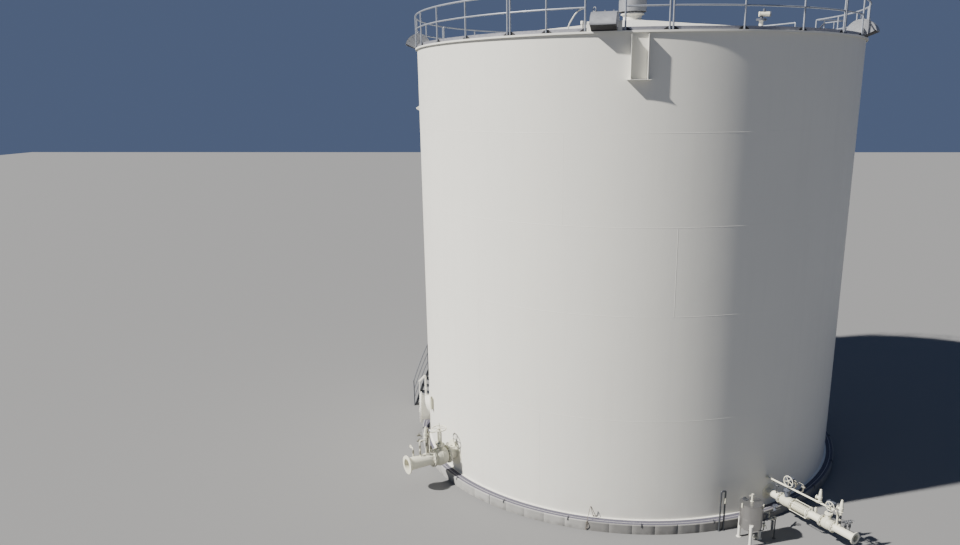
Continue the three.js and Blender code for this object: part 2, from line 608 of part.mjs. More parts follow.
function inletTrain() {
  const group = station(inlet);
  const { height, joints } = inlet;
  add('inlet_nozzle', flangedTube(inlet, shellRadius - 60, joints[0] - SEAT, false), creamPaint, group);
  const middle = (joints[0] + joints[1]) / 2;
  const wheelHeight = 1860;
  const body = joined(
    valveBody(inlet, joints[0], joints[1] - SEAT),
    box(-170, 170, -middle - 90, -middle + 90, height, height + 420),
    box(-210, 210, -middle - 130, -middle + 130, height + 400, height + 440),
    [-1, 1].map((side) => box(side * 90 - 18, side * 90 + 18, -middle - 25, -middle + 25, height + 430, wheelHeight - 60)),
    box(-110, 110, -middle - 55, -middle + 55, wheelHeight - 100, wheelHeight - 40),
    uprightBar(0, middle, height + 430, wheelHeight + 190, 14, 16));
  add('inlet_valve', body, creamPaint, group);
  handwheel('inlet_handwheel', { x: 0, reach: middle, z: wheelHeight }, 250, group);
  add('inlet_pipe', flangedTube(inlet, joints[1], joints[2]), creamPaint, group);
}

function manwayPieces() {
  const group = station(manway);
  const { flange, reach, height, sides } = manway;
  const face = shellRadius + reach;
  add('manway_neck', flangedTube(manway, shellRadius - 60, face - SEAT, false), creamPaint, group);
  const lid = rod(flange, face, face + 16, height, sides);
  const grips = [-1, 1].map((side) => box(
    side * 260 - 10, side * 260 + 10, -face - 60, -face - 8, height - 70, height + 70));
  add('manway_cover', joined(lid, grips), creamPaint, group);
}

// Recovery vessel, its line and the breather at the ringwall
function groundPieces() {
  const centre = polar(vessel.distance, vessel.azimuth, 0);
  const { radius, bottom, top, legRadius } = vessel;
  const profile = [[0, bottom - 60], [radius * 0.7, bottom - 40], [radius, bottom + 10], [radius, top - 25],
    [radius + 12, top - 25], [radius + 12, top], [0, top + 18]].map(([r, z]) => new THREE.Vector2(r, z));
  const tub = closed(new THREE.LatheGeometry(profile, 20).rotateX(Math.PI / 2)).translate(centre.x, centre.y, 0);
  const legs = [-5, 115, 235].map((angle) => {
    const foot = centre.clone().add(polar(radius + 8, angle, 0));
    return [bar(foot.clone().setZ(0), foot.clone().setZ(bottom + 160), legRadius, 8),
      bar(foot.clone().setZ(0), foot.clone().setZ(12), 75, 8)];
  });
  const stub = bar(centre.clone().setZ(top), centre.clone().setZ(top + 240), 30, 8);
  add('recovery_vessel', joined(tub, legs, stub), stainless);

  const drainHeight = 640;
  const wallPoint = polar(shellRadius - 40, 31.5, drainHeight);
  const elbow = polar(shellRadius + 300, 31.5, drainHeight);
  const inward = centre.clone().setZ(drainHeight);
  const drain = cut(pipe([wallPoint, elbow, inward], 30, 8), shellCutter,
    bar(centre.clone().setZ(bottom), centre.clone().setZ(top), radius + SEAT, 20));
  add('drain_line', drain, creamPaint);

  const half = breather.spacing / 2;
  const reach = ringwall.outer + breather.pipe - 8;
  const loop = pipe([
    [-half, 0], [-half, breather.top - 40], [40 - half, breather.top], [half - 40, breather.top],
    [half, breather.top - 40], [half, 0],
  ].map(([x, z]) => new THREE.Vector3(x, -reach, z)), breather.pipe, 8);
  add('breather_pipe', cut(turned(loop, breather.azimuth), ringwallCutter), darkSteel);
}

foundation();
shell();
rim();
centreVentPieces();
rimVents();
roofRail();
gaugePieces();
shellBracket();
span(0, stair.flights - 1, stair.flights - 1).forEach((flight) => {
  stairFlight(flight);
  stairRail(flight);
});
topLanding();
outletTrain();
inletTrain();
manwayPieces();
groundPieces();

export default tank;
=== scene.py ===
"""A vertical storage tank on its ringwall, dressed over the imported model. Metres, +Z up.

An azimuth is measured from -Y, the photographed side, towards +X. A fitting's own frame points its -Y
outwards, and a reach is a distance outwards.
"""

import json
import math

import bmesh
import bpy
from mathutils import Matrix, Vector


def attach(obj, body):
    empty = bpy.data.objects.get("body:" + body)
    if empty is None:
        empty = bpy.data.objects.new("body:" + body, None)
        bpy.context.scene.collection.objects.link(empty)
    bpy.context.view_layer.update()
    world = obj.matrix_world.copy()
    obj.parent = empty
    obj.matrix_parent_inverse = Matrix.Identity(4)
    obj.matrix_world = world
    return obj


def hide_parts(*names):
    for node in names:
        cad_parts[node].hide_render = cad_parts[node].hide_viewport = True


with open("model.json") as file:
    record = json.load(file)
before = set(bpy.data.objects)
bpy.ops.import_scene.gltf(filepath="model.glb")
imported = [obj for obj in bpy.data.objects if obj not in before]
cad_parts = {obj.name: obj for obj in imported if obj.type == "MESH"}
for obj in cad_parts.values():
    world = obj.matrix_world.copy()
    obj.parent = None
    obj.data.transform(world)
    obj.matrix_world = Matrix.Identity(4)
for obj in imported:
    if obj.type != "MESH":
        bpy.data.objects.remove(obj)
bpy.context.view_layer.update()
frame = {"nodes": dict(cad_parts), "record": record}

# Radii and heights of the tank
FOOT = 0.3048
GAP = 0.0003
SEGMENTS = 240
SHELL = 23.5 * FOOT
COURSES = [10 * FOOT, 10 * FOOT, 8 * FOOT, 8 * FOOT, (8 + 1 / 6) * FOOT]
PLATES = [0.008, 0.008, 0.0064, 0.0064, 0.0064]
RINGWALL, RINGWALL_TOP = SHELL + FOOT, 0.29
SHELL_BASE = 0.3
SHELL_TOP = SHELL_BASE + sum(COURSES)
LIP, LIP_TOP, LIP_EDGE = SHELL + 0.06, SHELL_TOP + 0.0095, 0.048
TOE, TOE_TOP = SHELL + 0.001, LIP_TOP + 0.0892
ROOF_EDGE, ROOF_SLOPE, ROOF_PLATE = TOE - 0.0068, 0.125, 0.0048
# Azimuths and steps of the ringwall's form panels, the start of its darker half and its joints
FORM_PANEL, FORM_START, DARKER_HALF_START = 5.0, 3.3, -6.7
SLOT_START, SLOT_STEP = 13.3, 45
# Azimuths of single fittings
BRACKET_AT, MANWAY_AT, VESSEL_AT, DRAIN_AT, BREATHER_AT = 1.65, -77.3, 26.9, 31.5, 23.4
GAUGE_AT, PLATE_AT, LUG_AT, COUPLING_AT = 130.2, -65, -78, -10.1


def roof_top(radius):
    return LIP_TOP + GAP + ROOF_PLATE + ROOF_SLOPE * (ROOF_EDGE - radius)


# Places
def polar(radius, azimuth, z=0):
    angle = math.radians(azimuth)
    return Vector((radius * math.sin(angle), -radius * math.cos(angle), z))


def turn(azimuth):
    return Matrix.Rotation(math.radians(azimuth), 4, "Z")


def tip(angle):
    return Matrix.Rotation(math.radians(angle), 4, "Y")


def move(*place):
    return Matrix.Translation(place)


OUTWARDS = Matrix.Rotation(math.radians(90), 4, "X")
SIDEWAYS = tip(90)


def along(matrix, *place):
    return move(*place) @ matrix


def span(start, end, steps):
    return [start + (end - start) * i / steps for i in range(steps + 1)]


def circle(radius, count, z=0, phase=0):
    angles = [math.tau * (i + phase) / count for i in range(count)]
    return [(radius * math.cos(a), radius * math.sin(a), z) for a in angles]


def slab(near, far, low, high):
    return [(near, low), (far, low), (far, high), (near, high)]


def collar(inner, outer, low, high, lip=0.002):
    """The profile of a raised ring whose edges are broken by a lip."""
    return [(inner, low), (outer, low + lip), (outer, high - lip), (inner, high)]


def hoop(start, end, rise):
    """The path of a handle whose ends stand at two points."""
    start, end, rise = Vector(start), Vector(end), Vector(rise)
    return [start, start + rise, end + rise, end]


def rounded(points, radius, steps=6):
    """A path whose corners are turned into arcs."""
    points = [Vector(point) for point in points]
    path = [points[0]]
    for before, corner, after in zip(points, points[1:], points[2:]):
        a, b = before - corner, after - corner
        reach = min(radius, a.length * 0.49, b.length * 0.49)
        start, end = corner + a.normalized() * reach, corner + b.normalized() * reach
        path += [start.lerp(corner, t).lerp(corner.lerp(end, t), t) for t in span(0, 1, steps)]
    return path + [points[-1]]


class Build:
    """Collects closed shapes and turns them into one mesh. The methods that add shapes can be chained."""

    def __init__(self, matrix=None):
        self.verts = []
        self.faces = []
        self.matrix = matrix or Matrix.Identity(4)

    def add(self, points, faces, matrix=None):
        placed = self.matrix @ matrix if matrix else self.matrix
        base = len(self.verts)
        self.verts.extend(placed @ Vector(point) for point in points)
        self.faces.extend(tuple(base + i for i in face) for face in faces)
        return self

    def loft(self, rings, closed=False, matrix=None):
        """Rings of equal length joined one to the next, with flat ends unless closed."""
        count, total = len(rings[0]), len(rings)
        steps = [(i, (i + 1) % count) for i in range(count)]
        faces = []
        for s in range(total if closed else total - 1):
            here, there = s * count, (s + 1) % total * count
            faces += [(here + i, here + j, there + j, there + i) for i, j in steps]
        if not closed:
            faces += [tuple(range(count)), tuple(range((total - 1) * count, total * count))]
        return self.add([point for ring in rings for point in ring], faces, matrix)

    def sheet(self, outline, x, matrix=None):
        """An outline of (reach, z) points, carried along local X from one value to the other."""
        return self.loft([[(i, -reach, z) for reach, z in outline] for i in x], matrix=matrix)

    def box(self, x, reach, z, matrix=None):
        """A block. A single number for x is half its width."""
        return self.sheet(slab(*reach, *z), (-x, x) if isinstance(x, float) else x, matrix)

    def prism(self, outline, low, high, matrix=None):
        """An outline in local X and Y, carried along local Z."""
        return self.loft([[(x, y, z) for x, y in outline] for z in (low, high)], matrix=matrix)

    def arc(self, outline, start=0, end=360, steps=SEGMENTS):
        """An outline of (radius, z) points carried round the tank."""
        whole = end - start == 360
        azimuths = span(start, end, steps)[:-1] if whole else span(start, end, steps)
        return self.loft([[polar(r, a, z) for r, z in outline] for a in azimuths], closed=whole)

    def lathe(self, profile, segments=32, matrix=None, closed=False):
        """A profile of (radius, height) about local Z. Unless closed, its ends are joined to the axis."""
        rings = [circle(radius, segments, height) for radius, height in profile if radius]
        if closed:
            return self.loft(rings, True, matrix)
        columns = [1 + s * segments for s in range(len(rings))]
        last = 1 + len(rings) * segments
        faces = []
        for i in range(segments):
            j = (i + 1) % segments
            faces += [(0, 1 + i, 1 + j), (last, columns[-1] + j, columns[-1] + i)]
            faces += [(here + i, here + j, there + j, there + i) for here, there in zip(columns, columns[1:])]
        points = [point for ring in rings for point in ring]
        return self.add([(0, 0, profile[0][1]), *points, (0, 0, profile[-1][1])], faces, matrix)

    def band(self, inner, outer, low, high, segments=48, matrix=None):
        """A plain ring about local Z."""
        return self.lathe(slab(inner, outer, low, high), segments, matrix, closed=True)

    def tube(self, path, radius, sides=12, closed=False, matrix=None):
        """A round bar along a path, mitred at its points."""
        path = [Vector(point) for point in path]
        count = len(path)
        rings, across = [], None
        for i, point in enumerate(path):
            legs = [path[(i + k) % count] - path[i + k - 1] for k in (0, 1) if closed or 0 < i + k < count]
            arriving, leaving = legs[0].normalized(), legs[-1].normalized()
            forward, bend = (arriving + leaving).normalized(), (leaving - arriving).normalized()
            stretch = 1 / max(0.5, forward.dot(arriving)) - 1
            if across is None:
                across = forward.cross(Vector((0, 0, 1)) if abs(forward.z) < 0.9 else Vector((1, 0, 0)))
            across = (across - forward * across.dot(forward)).normalized()
            rise = forward.cross(across)
            offsets = [across * u + rise * v for u, v, _ in circle(radius, sides, phase=0.5)]
            rings.append([point + offset + bend * offset.dot(bend) * stretch for offset in offsets])
        return self.loft(rings, closed, matrix)

    def rod(self, start, end, radius, sides=12, matrix=None):
        return self.tube([start, end], radius, sides, matrix=matrix)

    def stem(self, x, reach, low, high, radius, sides=12, matrix=None):
        """An upright round bar."""
        return self.rod((x, -reach, low), (x, -reach, high), radius, sides, matrix)

    def elbow(self, points, radius, bend, sides=16, steps=8, matrix=None):
        """A pipe with rounded corners."""
        return self.tube(rounded(points, bend, steps), radius, sides, matrix=matrix)

    def hexagon(self, x, y, radius, low, high, matrix=None):
        return self.prism([(x + u, y + v) for u, v, _ in circle(radius, 6)], low, high, matrix)

    def bolts(self, radius, count, size, low, high, matrix=None):
        """Studs with hexagon nuts at both ends, on a circle about local Z."""
        for x, y, _ in circle(radius, count, phase=0.5):
            for base in (low - size * 0.8, high):
                self.hexagon(x, y, size * 0.8, base, base + size * 0.8, matrix)
            self.stem(x, -y, low - size * 1.1, high + size * 1.25, size * 0.42, 8, matrix)
        return self

    def piece(self, name, finish, *replaces, body="tank", sharp=32):
        surface, slot = finish
        mesh = bpy.data.meshes.new(name)
        mesh.from_pydata([tuple(v) for v in self.verts], [], self.faces)
        shell = bmesh.new()
        shell.from_mesh(mesh)
        bmesh.ops.recalc_face_normals(shell, faces=shell.faces)
        shell.to_mesh(mesh)
        shell.free()
        mesh.shade_smooth()
        mesh.set_sharp_from_angle(angle=math.radians(sharp))
        mesh.materials.append(surface)
        made = bpy.data.objects.new(name, mesh)
        bpy.context.scene.collection.objects.link(made)
        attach(made, body)
        if replaces:
            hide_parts(*replaces)


# Materials
class Surface:
    """A material and short ways to wire its nodes."""

    def __init__(self, name):
        self.material = bpy.data.materials.new(name)
        self.material.use_nodes = True
        self.tree = self.material.node_tree
        self.shader = self.tree.nodes["Principled BSDF"]

    def feed(self, socket, value):
        if isinstance(value, bpy.types.NodeSocket):
            self.tree.links.new(value, socket)
        else:
            socket.default_value = value

    def node(self, kind, values, output, **settings):
        made = self.tree.nodes.new("ShaderNode" + kind)
        for key, value in settings.items():
            setattr(made, key, value)
        for key, value in values.items():
            self.feed(made.inputs[key], value)
        return made.outputs[output]

    def math(self, operation, *values):
        return self.node("Math", dict(enumerate(values)), "Value", operation=operation)

    def coordinates(self):
        return self.node("TexCoord", {}, "Object")

    def axis(self, name):
        return self.node("SeparateXYZ", {"Vector": self.coordinates()}, name)

    def place(self, scale=(1, 1, 1)):
        return self.node("Mapping", {"Vector": self.coordinates(), "Scale": scale}, "Vector")

    def noise(self, scale, detail=3.0, roughness=0.55, stretch=(1, 1, 1)):
        values = {"Vector": self.place(stretch), "Scale": scale, "Detail": detail, "Roughness": roughness}
        return self.node("TexNoise", values, "Fac")

    def ramp(self, source, low, high, low_value=0.0, high_value=1.0):
        ends = {"From Min": low, "From Max": high, "To Min": low_value, "To Max": high_value}
        return self.node("MapRange", {"Value": source, **ends}, "Result")

    def patches(self, low, high, *noise):
        return self.ramp(self.noise(*noise), low, high)

    def times(self, a, b):
        return self.math("MULTIPLY", a, b)

    def cast_panels(self):
        """A tone of its own for each form panel round the ringwall."""
        angle = self.math("ARCTAN2", self.axis("X"), self.axis("Y"))
        count = self.math("MULTIPLY_ADD", angle, 1 / math.radians(FORM_PANEL), FORM_START / FORM_PANEL)
        return self.node("TexWhiteNoise", {"W": self.math("FLOOR", count)}, "Value", noise_dimensions="1D")

    def darker_half(self):
        """One on the darker half of the ringwall, from the joint at DARKER_HALF_START on."""
        values = {0: self.coordinates(), 1: polar(1, DARKER_HALF_START + 90)}
        return self.ramp(self.node("VectorMath", values, "Value", operation="DOT_PRODUCT"), 0.0, 0.02)

    def mix(self, factor, a, b):
        """Two colours mixed. The numbers are the places of the colour sockets on the node."""
        return self.node("Mix", {0: factor, 6: a, 7: b}, 2, data_type="RGBA")

    def dim(self, factor, a, colour, share):
        """A mix towards a darker tone of a colour."""
        return self.mix(factor, a, [c * share for c in colour[:3]] + [1])

    def set(self, **values):
        for key, value in values.items():
            self.feed(self.shader.inputs[key.replace("_", " ")], value)

    def bump(self, source, distance, strength):
        values = {"Height": source, "Distance": distance, "Strength": strength}
        previous = self.shader.inputs["Normal"].links
        if previous:
            values["Normal"] = previous[0].from_socket
        self.feed(self.shader.inputs["Normal"], self.node("Bump", values, "Normal"))


def shade(r, g, b):
    return (r, g, b, 1.0)


def painted(name, colour, dust, streak=0.06, base_dust=0.0):
    """A satin coat with faint mottling, rain streaks and dust towards the ground."""
    s = Surface(name)
    light = s.dim(s.times(s.patches(0.35, 0.7, 0.5, 4), 0.35), colour, colour, 0.95)
    streaks = s.patches(0.5, 0.8, 1.0, 5, 0.65, (3.2, 3.2, 0.16))
    aged = s.dim(s.times(streaks, streak * 6), light, colour, 0.9)
    worn = s.mix(s.times(s.patches(0.62, 0.85, 9, 6, 0.7), 0.25), aged, dust)
    low = s.ramp(s.axis("Z"), 0.3, 1.5, base_dust, 0.0)
    s.set(Base_Color=s.mix(s.times(low, s.patches(0.35, 0.7, 2.2, 5)), worn, dust), Specular_IOR_Level=0.4,
          Roughness=s.ramp(s.noise(3, 4), 0.3, 0.75, 0.44, 0.6))
    s.bump(s.noise(70, 2), 0.0006, 0.35)
    s.bump(s.noise(0.9, 2), 0.012, 0.25)
    return s.material


def galvanised_steel(name, colour, scale=60.0):
    """Zinc with a faint spangle and dull patches."""
    s = Surface(name)
    cells = s.node("TexVoronoi", {"Vector": s.place(), "Scale": scale}, "Color")
    grey = s.node("RGBToBW", {"Color": cells}, "Val")
    spangle = s.mix(s.ramp(grey, 0.2, 0.8), [c * 0.9 for c in colour[:3]] + [1], colour)
    s.set(Base_Color=s.dim(s.times(s.patches(0.4, 0.75, 2.5, 5), 0.4), spangle, colour, 0.78), Metallic=0.4,
          Roughness=s.ramp(s.noise(6, 4), 0.3, 0.7, 0.36, 0.5))
    s.bump(s.noise(120, 2), 0.0004, 0.3)
    return s.material


def brushed_steel(name, colour):
    """Stainless sheet with fine brush lines round it and a few water marks."""
    s = Surface(name)
    lines = s.noise(40, 4, 0.6, (1, 1, 22))
    marks = s.patches(0.5, 0.8, 3, 5, 0.6, (2, 2, 0.5))
    s.set(Base_Color=s.dim(s.times(marks, 0.5), colour, colour, 0.72), Metallic=0.9,
          Roughness=s.ramp(lines, 0.3, 0.7, 0.28, 0.42))
    s.bump(lines, 0.0003, 0.3)
    return s.material


def cast_concrete(name, colour, stain, panels=False):
    """Board-cast concrete: pores, pale and dark clouds, damp along its foot."""
    s = Surface(name)
    clouds = s.dim(s.patches(0.35, 0.7, 1.3, 6), colour, colour, 0.8)
    grains = s.dim(s.times(s.patches(0.5, 0.8, 45, 5, 0.7), 0.5), clouds, colour, 0.62)
    damp = s.times(s.ramp(s.axis("Z"), 0.0, 0.16, 0.75, 0.0), s.patches(0.35, 0.65, 4, 5))
    tone = s.mix(damp, grains, stain)
    if panels:
        tone = s.dim(s.times(s.cast_panels(), 0.3), tone, colour, 0.5)
        # Half the ringwall, from the joint at azimuth -6.7 on, is mixed halfway towards the stain colour.
        tone = s.mix(s.times(s.darker_half(), 0.5), tone, stain)
    s.set(Base_Color=tone, Roughness=0.88, Specular_IOR_Level=0.25)
    s.bump(s.noise(90, 5, 0.7), 0.002, 0.6)
    s.bump(s.noise(7, 4), 0.006, 0.4)
    return s.material


def plain_metal(name, colour, metallic, roughness):
    """Small hardware: an even colour with fine grime."""
    s = Surface(name)
    grime = s.times(s.patches(0.45, 0.75, 14, 5), 0.5)
    s.set(Base_Color=s.dim(grime, colour, colour, 0.6), Metallic=metallic,
          Roughness=s.ramp(s.noise(20, 3), 0.3, 0.7, roughness - 0.07, roughness + 0.1))
    s.bump(s.noise(60, 3), 0.0008, 0.3)
    return s.material


# A finish is a material and its slot. LEFT_AS_BUILT holds the finish of every slot.
LEFT_AS_BUILT = {
    "cream_paint": painted("cream_paint", shade(0.76, 0.75, 0.69), shade(0.5, 0.45, 0.37), base_dust=0.18),
    # valve_paint is a greener cream, darkened partly as painted shade, since the valve bodies' seen sides lie
    # mostly in shade.
    "valve_paint": painted("valve_paint", shade(0.6, 0.59, 0.48), shade(0.36, 0.3, 0.22),
                           streak=0.04, base_dust=0.25),
    "galvanised": galvanised_steel("galvanised", shade(0.35, 0.375, 0.43)),
    "stainless": brushed_steel("stainless", shade(0.43, 0.42, 0.41)),
    "concrete": cast_concrete("concrete", shade(0.4, 0.395, 0.38), shade(0.12, 0.115, 0.11), panels=True),
    "compacted_fill": cast_concrete("compacted_fill", shade(0.34, 0.3, 0.24), shade(0.2, 0.17, 0.13)),
    "dark_steel": plain_metal("dark_steel", shade(0.07, 0.075, 0.085), 0.3, 0.5),
}
CREAM, VALVE, GALVANISED, STAINLESS, CONCRETE, FILL, DARK = [
    (surface, slot) for slot, surface in LEFT_AS_BUILT.items()]
ROOF_CREAM = painted(
    "roof_paint", shade(0.74, 0.73, 0.68), shade(0.45, 0.41, 0.35), streak=0.02), "cream_paint"
PIPE = painted(
    "pipe_paint", shade(0.75, 0.73, 0.6), shade(0.36, 0.3, 0.22), streak=0.03, base_dust=0.2), "cream_paint"
PALE_VALVE = PIPE[0], "valve_paint"
# Galvanised zinc for the stair, far darker than the rails' copy of the same zinc: partly the zinc's own tone,
# partly painted shade for the stair's shaded stringers and treads.
STAIR_ZINC_AND_SHADE = galvanised_steel("galvanised_stair_and_shade", shade(0.11, 0.118, 0.14)), "galvanised"
SHEET_ZINC = galvanised_steel("galvanised_sheet", shade(0.34, 0.35, 0.375), 25.0), "galvanised"
TOE_ZINC = plain_metal("toe_plate_zinc", shade(0.37, 0.37, 0.41), 0.6, 0.45), "galvanised"
SCREEN = plain_metal("screen_wire", shade(0.035, 0.035, 0.04), 0.3, 0.6), "dark_steel"
SEALANT = plain_metal("sealant", shade(0.1, 0.095, 0.125), 0.0, 0.8), "dark_steel"
JOINT_LINE = plain_metal("pale_sealant", shade(0.42, 0.41, 0.42), 0.0, 0.8), "concrete"
FITTING = plain_metal("cast_fitting", shade(0.26, 0.25, 0.21), 0.35, 0.5), "valve_paint"
# Dark grey-blue paint for operators, the gauge cover and gate valves; on the outlet's first valve it also
# serves as painted shade, where the tank's shadow falls.
OPERATOR = plain_metal("operator_paint_and_shade", shade(0.1, 0.11, 0.14), 0.1, 0.5), "valve_paint"
COPPER = plain_metal("earth_copper", shade(0.2, 0.17, 0.14), 0.2, 0.6), "dark_steel"


# Foundation, shell, rim and roof
def foundation():
    inner = RINGWALL - 2 * FOOT
    edge, groove, half = 0.018, 0.006, 0.09
    outline = [(inner, 0), (RINGWALL, 0), (RINGWALL, RINGWALL_TOP - edge), (RINGWALL - edge, RINGWALL_TOP),
               (inner, RINGWALL_TOP)]
    dipped = [(r - groove if r > inner else r, z) for r, z in outline]
    stations = [(-half, outline), (0, dipped), (half, outline)]
    stations += [(FORM_PANEL * k / 4, outline) for k in (1, 2, 3)]
    joints = [FORM_START + FORM_PANEL * i for i in range(round(360 / FORM_PANEL))]
    rings = [[polar(r, joint + shift, z) for r, z in points]
             for joint in joints for shift, points in stations]
    Build().loft(rings, closed=True).piece("ringwall_concrete", CONCRETE, "ringwall", sharp=40)

    fill = inner - 0.0005
    Build().lathe([(fill, 0), (fill, RINGWALL_TOP)], 120).piece(
        "fill_inside_ringwall", FILL, "foundation_fill")
    bottom = RINGWALL_TOP + GAP
    Build().lathe([(LIP, bottom), (LIP, 0.2985), (LIP - 0.001, 0.2997)], SEGMENTS).piece(
        "bottom_plate_edge", CREAM, "bottom_plate")
    coating = [(LIP + 0.001, bottom), (RINGWALL - 0.032, bottom), (RINGWALL - 0.034, 0.2915),
               (LIP + 0.02, 0.2925), (LIP + 0.001, 0.2965)]
    Build().arc(coating).piece("ringwall_top_coating", SEALANT)
    line = [(LIP + 0.118, 0.2915), (LIP + 0.136, 0.2915), (LIP + 0.134, 0.2945), (LIP + 0.12, 0.2945)]
    Build().arc(line).piece("ringwall_joint_line", JOINT_LINE)
    filler = Build()
    for k in range(360 // SLOT_STEP):
        place = turn(SLOT_START + SLOT_STEP * k)
        filler.box(0.011, (RINGWALL - 0.03, RINGWALL + 0.001), (0.0, RINGWALL_TOP - 0.01), place)
        filler.box(0.009, (RINGWALL - 0.034, RINGWALL - 0.012), (0.28, RINGWALL_TOP + 0.0015), place)
    filler.piece("ringwall_joint_filler", DARK)


VERTICAL_SEAMS = [-19.0, -36.7, 10.9, -13.7, -38.0]


def shell():
    level, half, proud, foot, root = SHELL_BASE, 0.011, 0.0024, 0.009, SHELL - 0.001

    def bead(sunk):
        return [(-half, -sunk), (-half / 2, proud * 0.7), (0, proud), (half / 2, proud * 0.7), (half, -sunk)]
    welds = Build()
    for i, (height, plate) in enumerate(zip(COURSES, PLATES)):
        top = level + height - GAP
        Build().arc(slab(SHELL - plate, SHELL, level, top)).piece(
            f"course_{i + 1}_plates", CREAM, f"shell_course_{i + 1}")
        if i:
            welds.arc([(SHELL + out, level + up) for up, out in bead(0.001)])
        for k in range(5):
            seam = [(x, -SHELL - out) for x, out in bead(0.002)]
            welds.prism(seam, level + half, top - half, turn(VERTICAL_SEAMS[i] + 72 * k))
        level += height
    base = SHELL_BASE - 0.0001
    welds.arc([(root, base), (SHELL + foot, base), (SHELL + foot * 0.35, SHELL_BASE + foot * 0.4),
               (root, SHELL_BASE + foot)]).piece("shell_welds", CREAM, sharp=60)


def rim():
    leg, low = SHELL - PLATES[4] - GAP, LIP_TOP + GAP
    thick, bottom, seat = 0.0095, SHELL_TOP - 0.0665, SHELL_TOP + 0.0002
    edge = LIP_TOP - LIP_EDGE
    angle = [(leg - thick, bottom), (leg, bottom), (leg, seat), (LIP - thick, seat), (LIP - thick, edge),
             (LIP - 0.001, edge), (LIP, edge + 0.001), (LIP, LIP_TOP - 0.002), (LIP - 0.002, LIP_TOP),
             (leg - thick, LIP_TOP)]
    Build().arc(angle).piece("rim_angle", CREAM, "top_angle")
    toe = [(TOE - 0.0065, low), (TOE, low), (TOE, TOE_TOP - 0.001), (TOE - 0.001, TOE_TOP),
           (TOE - 0.0055, TOE_TOP), (TOE - 0.0065, TOE_TOP - 0.001)]
    Build().arc(toe).piece("rim_toe_plate", TOE_ZINC, "toe_plate")


def on_roof(x, y):
    return Vector((x, y, roof_top(math.hypot(x, y))))


def roof():
    eye = 0.3058
    cone = ((ROOF_EDGE, -ROOF_PLATE), (ROOF_EDGE, 0), (eye, 0), (eye, -ROOF_PLATE))
    Build().arc([(r, roof_top(r) + lift) for r, lift in cone]).piece("roof_cone", ROOF_CREAM, "roof_plates")

    strip, cross, edge = 1.83, 5.6, ROOF_EDGE - 0.02
    laps = Build()

    def lap(points):
        """A plate's raised edge: a low wedge that lies on the cone."""
        rings = []
        for before, point, after in zip([points[0]] + points[:-1], points, points[1:] + [points[-1]]):
            side = Vector((0, 0, 1)).cross(after - before).normalized()
            wedge = ((-0.009, -0.003), (-0.009, 0.0055), (0.004, 0.0055), (0.012, -0.003))
            rings.append([point + side * u + Vector((0, 0, v)) for u, v in wedge])
        laps.loft(rings)

    rows = int(edge / strip) + 1
    for row in range(-rows, rows + 1):
        y = (row + 0.5) * strip
        if abs(y) < edge:
            reach = math.sqrt(edge ** 2 - y ** 2)
            lap([on_roof(x, y) for x in span(-reach, reach, 60)])
        low, high = max(y - strip, -edge), min(y, edge)
        if high - low < 0.3:
            continue
        for column in range(-3, 4):
            x = (column + 0.5 * (row % 2)) * cross
            inside = [v for v in span(low, high, 8) if 0.3 < math.hypot(x, v) < edge]
            if len(inside) > 3:
                lap([on_roof(x, v) for v in inside])
    laps.piece("roof_laps", ROOF_CREAM, sharp=60)


# Vents
def centre_vent():
    radius, wall, flange, top = 0.305, 0.0095, 0.385, 14.835
    bore, base = radius - wall, roof_top(radius) - 0.04
    neck = Build().lathe([(bore, base), (radius, base), (radius, top - 0.025), (flange, top - 0.025),
                          (flange, top), (bore, top)], 64, closed=True)
    neck.arc([(r, roof_top(r) + lift) for r, lift in slab(radius, 0.5, 0, 0.006)], steps=64)
    neck.bolts(0.35, 20, 0.02, top - 0.025, top + 0.022).piece("vent_neck", CREAM, "centre_vent_neck")

    seat, low, hood = top + GAP, 14.9, 0.455
    high = low + 0.4
    head = Build().lathe([(bore, seat), (flange, seat), (flange, seat + 0.022), (radius, seat + 0.022),
                          (radius, high - 0.09), (bore, high - 0.09)], 64, closed=True)
    head.lathe([(0, high + 0.12), (0.1, high + 0.112), (hood - 0.04, high + 0.018), (hood, high - 0.012),
                (hood, low + 0.03), (hood - 0.001, low), (hood - 0.006, low), (hood - 0.006, high - 0.016),
                (0, high + 0.11)], 64)
    for level in (low + 0.012, high - 0.03):
        head.lathe(collar(hood - 0.003, hood, level - 0.012, level + 0.012, 0.004), 64, closed=True)
    for i in range(4):
        head.box(0.005, (radius - 0.005, hood - 0.003), (high - 0.24, high - 0.12), turn(45 + 90 * i))
    head.piece("vent_hood", SHEET_ZINC, "centre_vent_hood")

    screen, level = Build(), low + 0.02
    for azimuth in span(0, 350, 35):
        screen.rod(polar(radius + 0.004, azimuth, level), polar(hood - 0.01, azimuth, level), 0.0015, 4)
    for r in span(radius + 0.02, hood - 0.02, 5):
        screen.tube([polar(r, a, level) for a in span(0, 350, 35)], 0.0015, 4, closed=True)
    screen.piece("vent_screen", SCREEN)


VENT_AZIMUTHS = [-5.45 + 72 * i for i in range(5)]
VENT_RADIUS, VENT_AXIS, VENT_RISE, VENT_HALF, VENT_SHEET = 0.42, 7.12, 0.05, 0.3275, 0.005


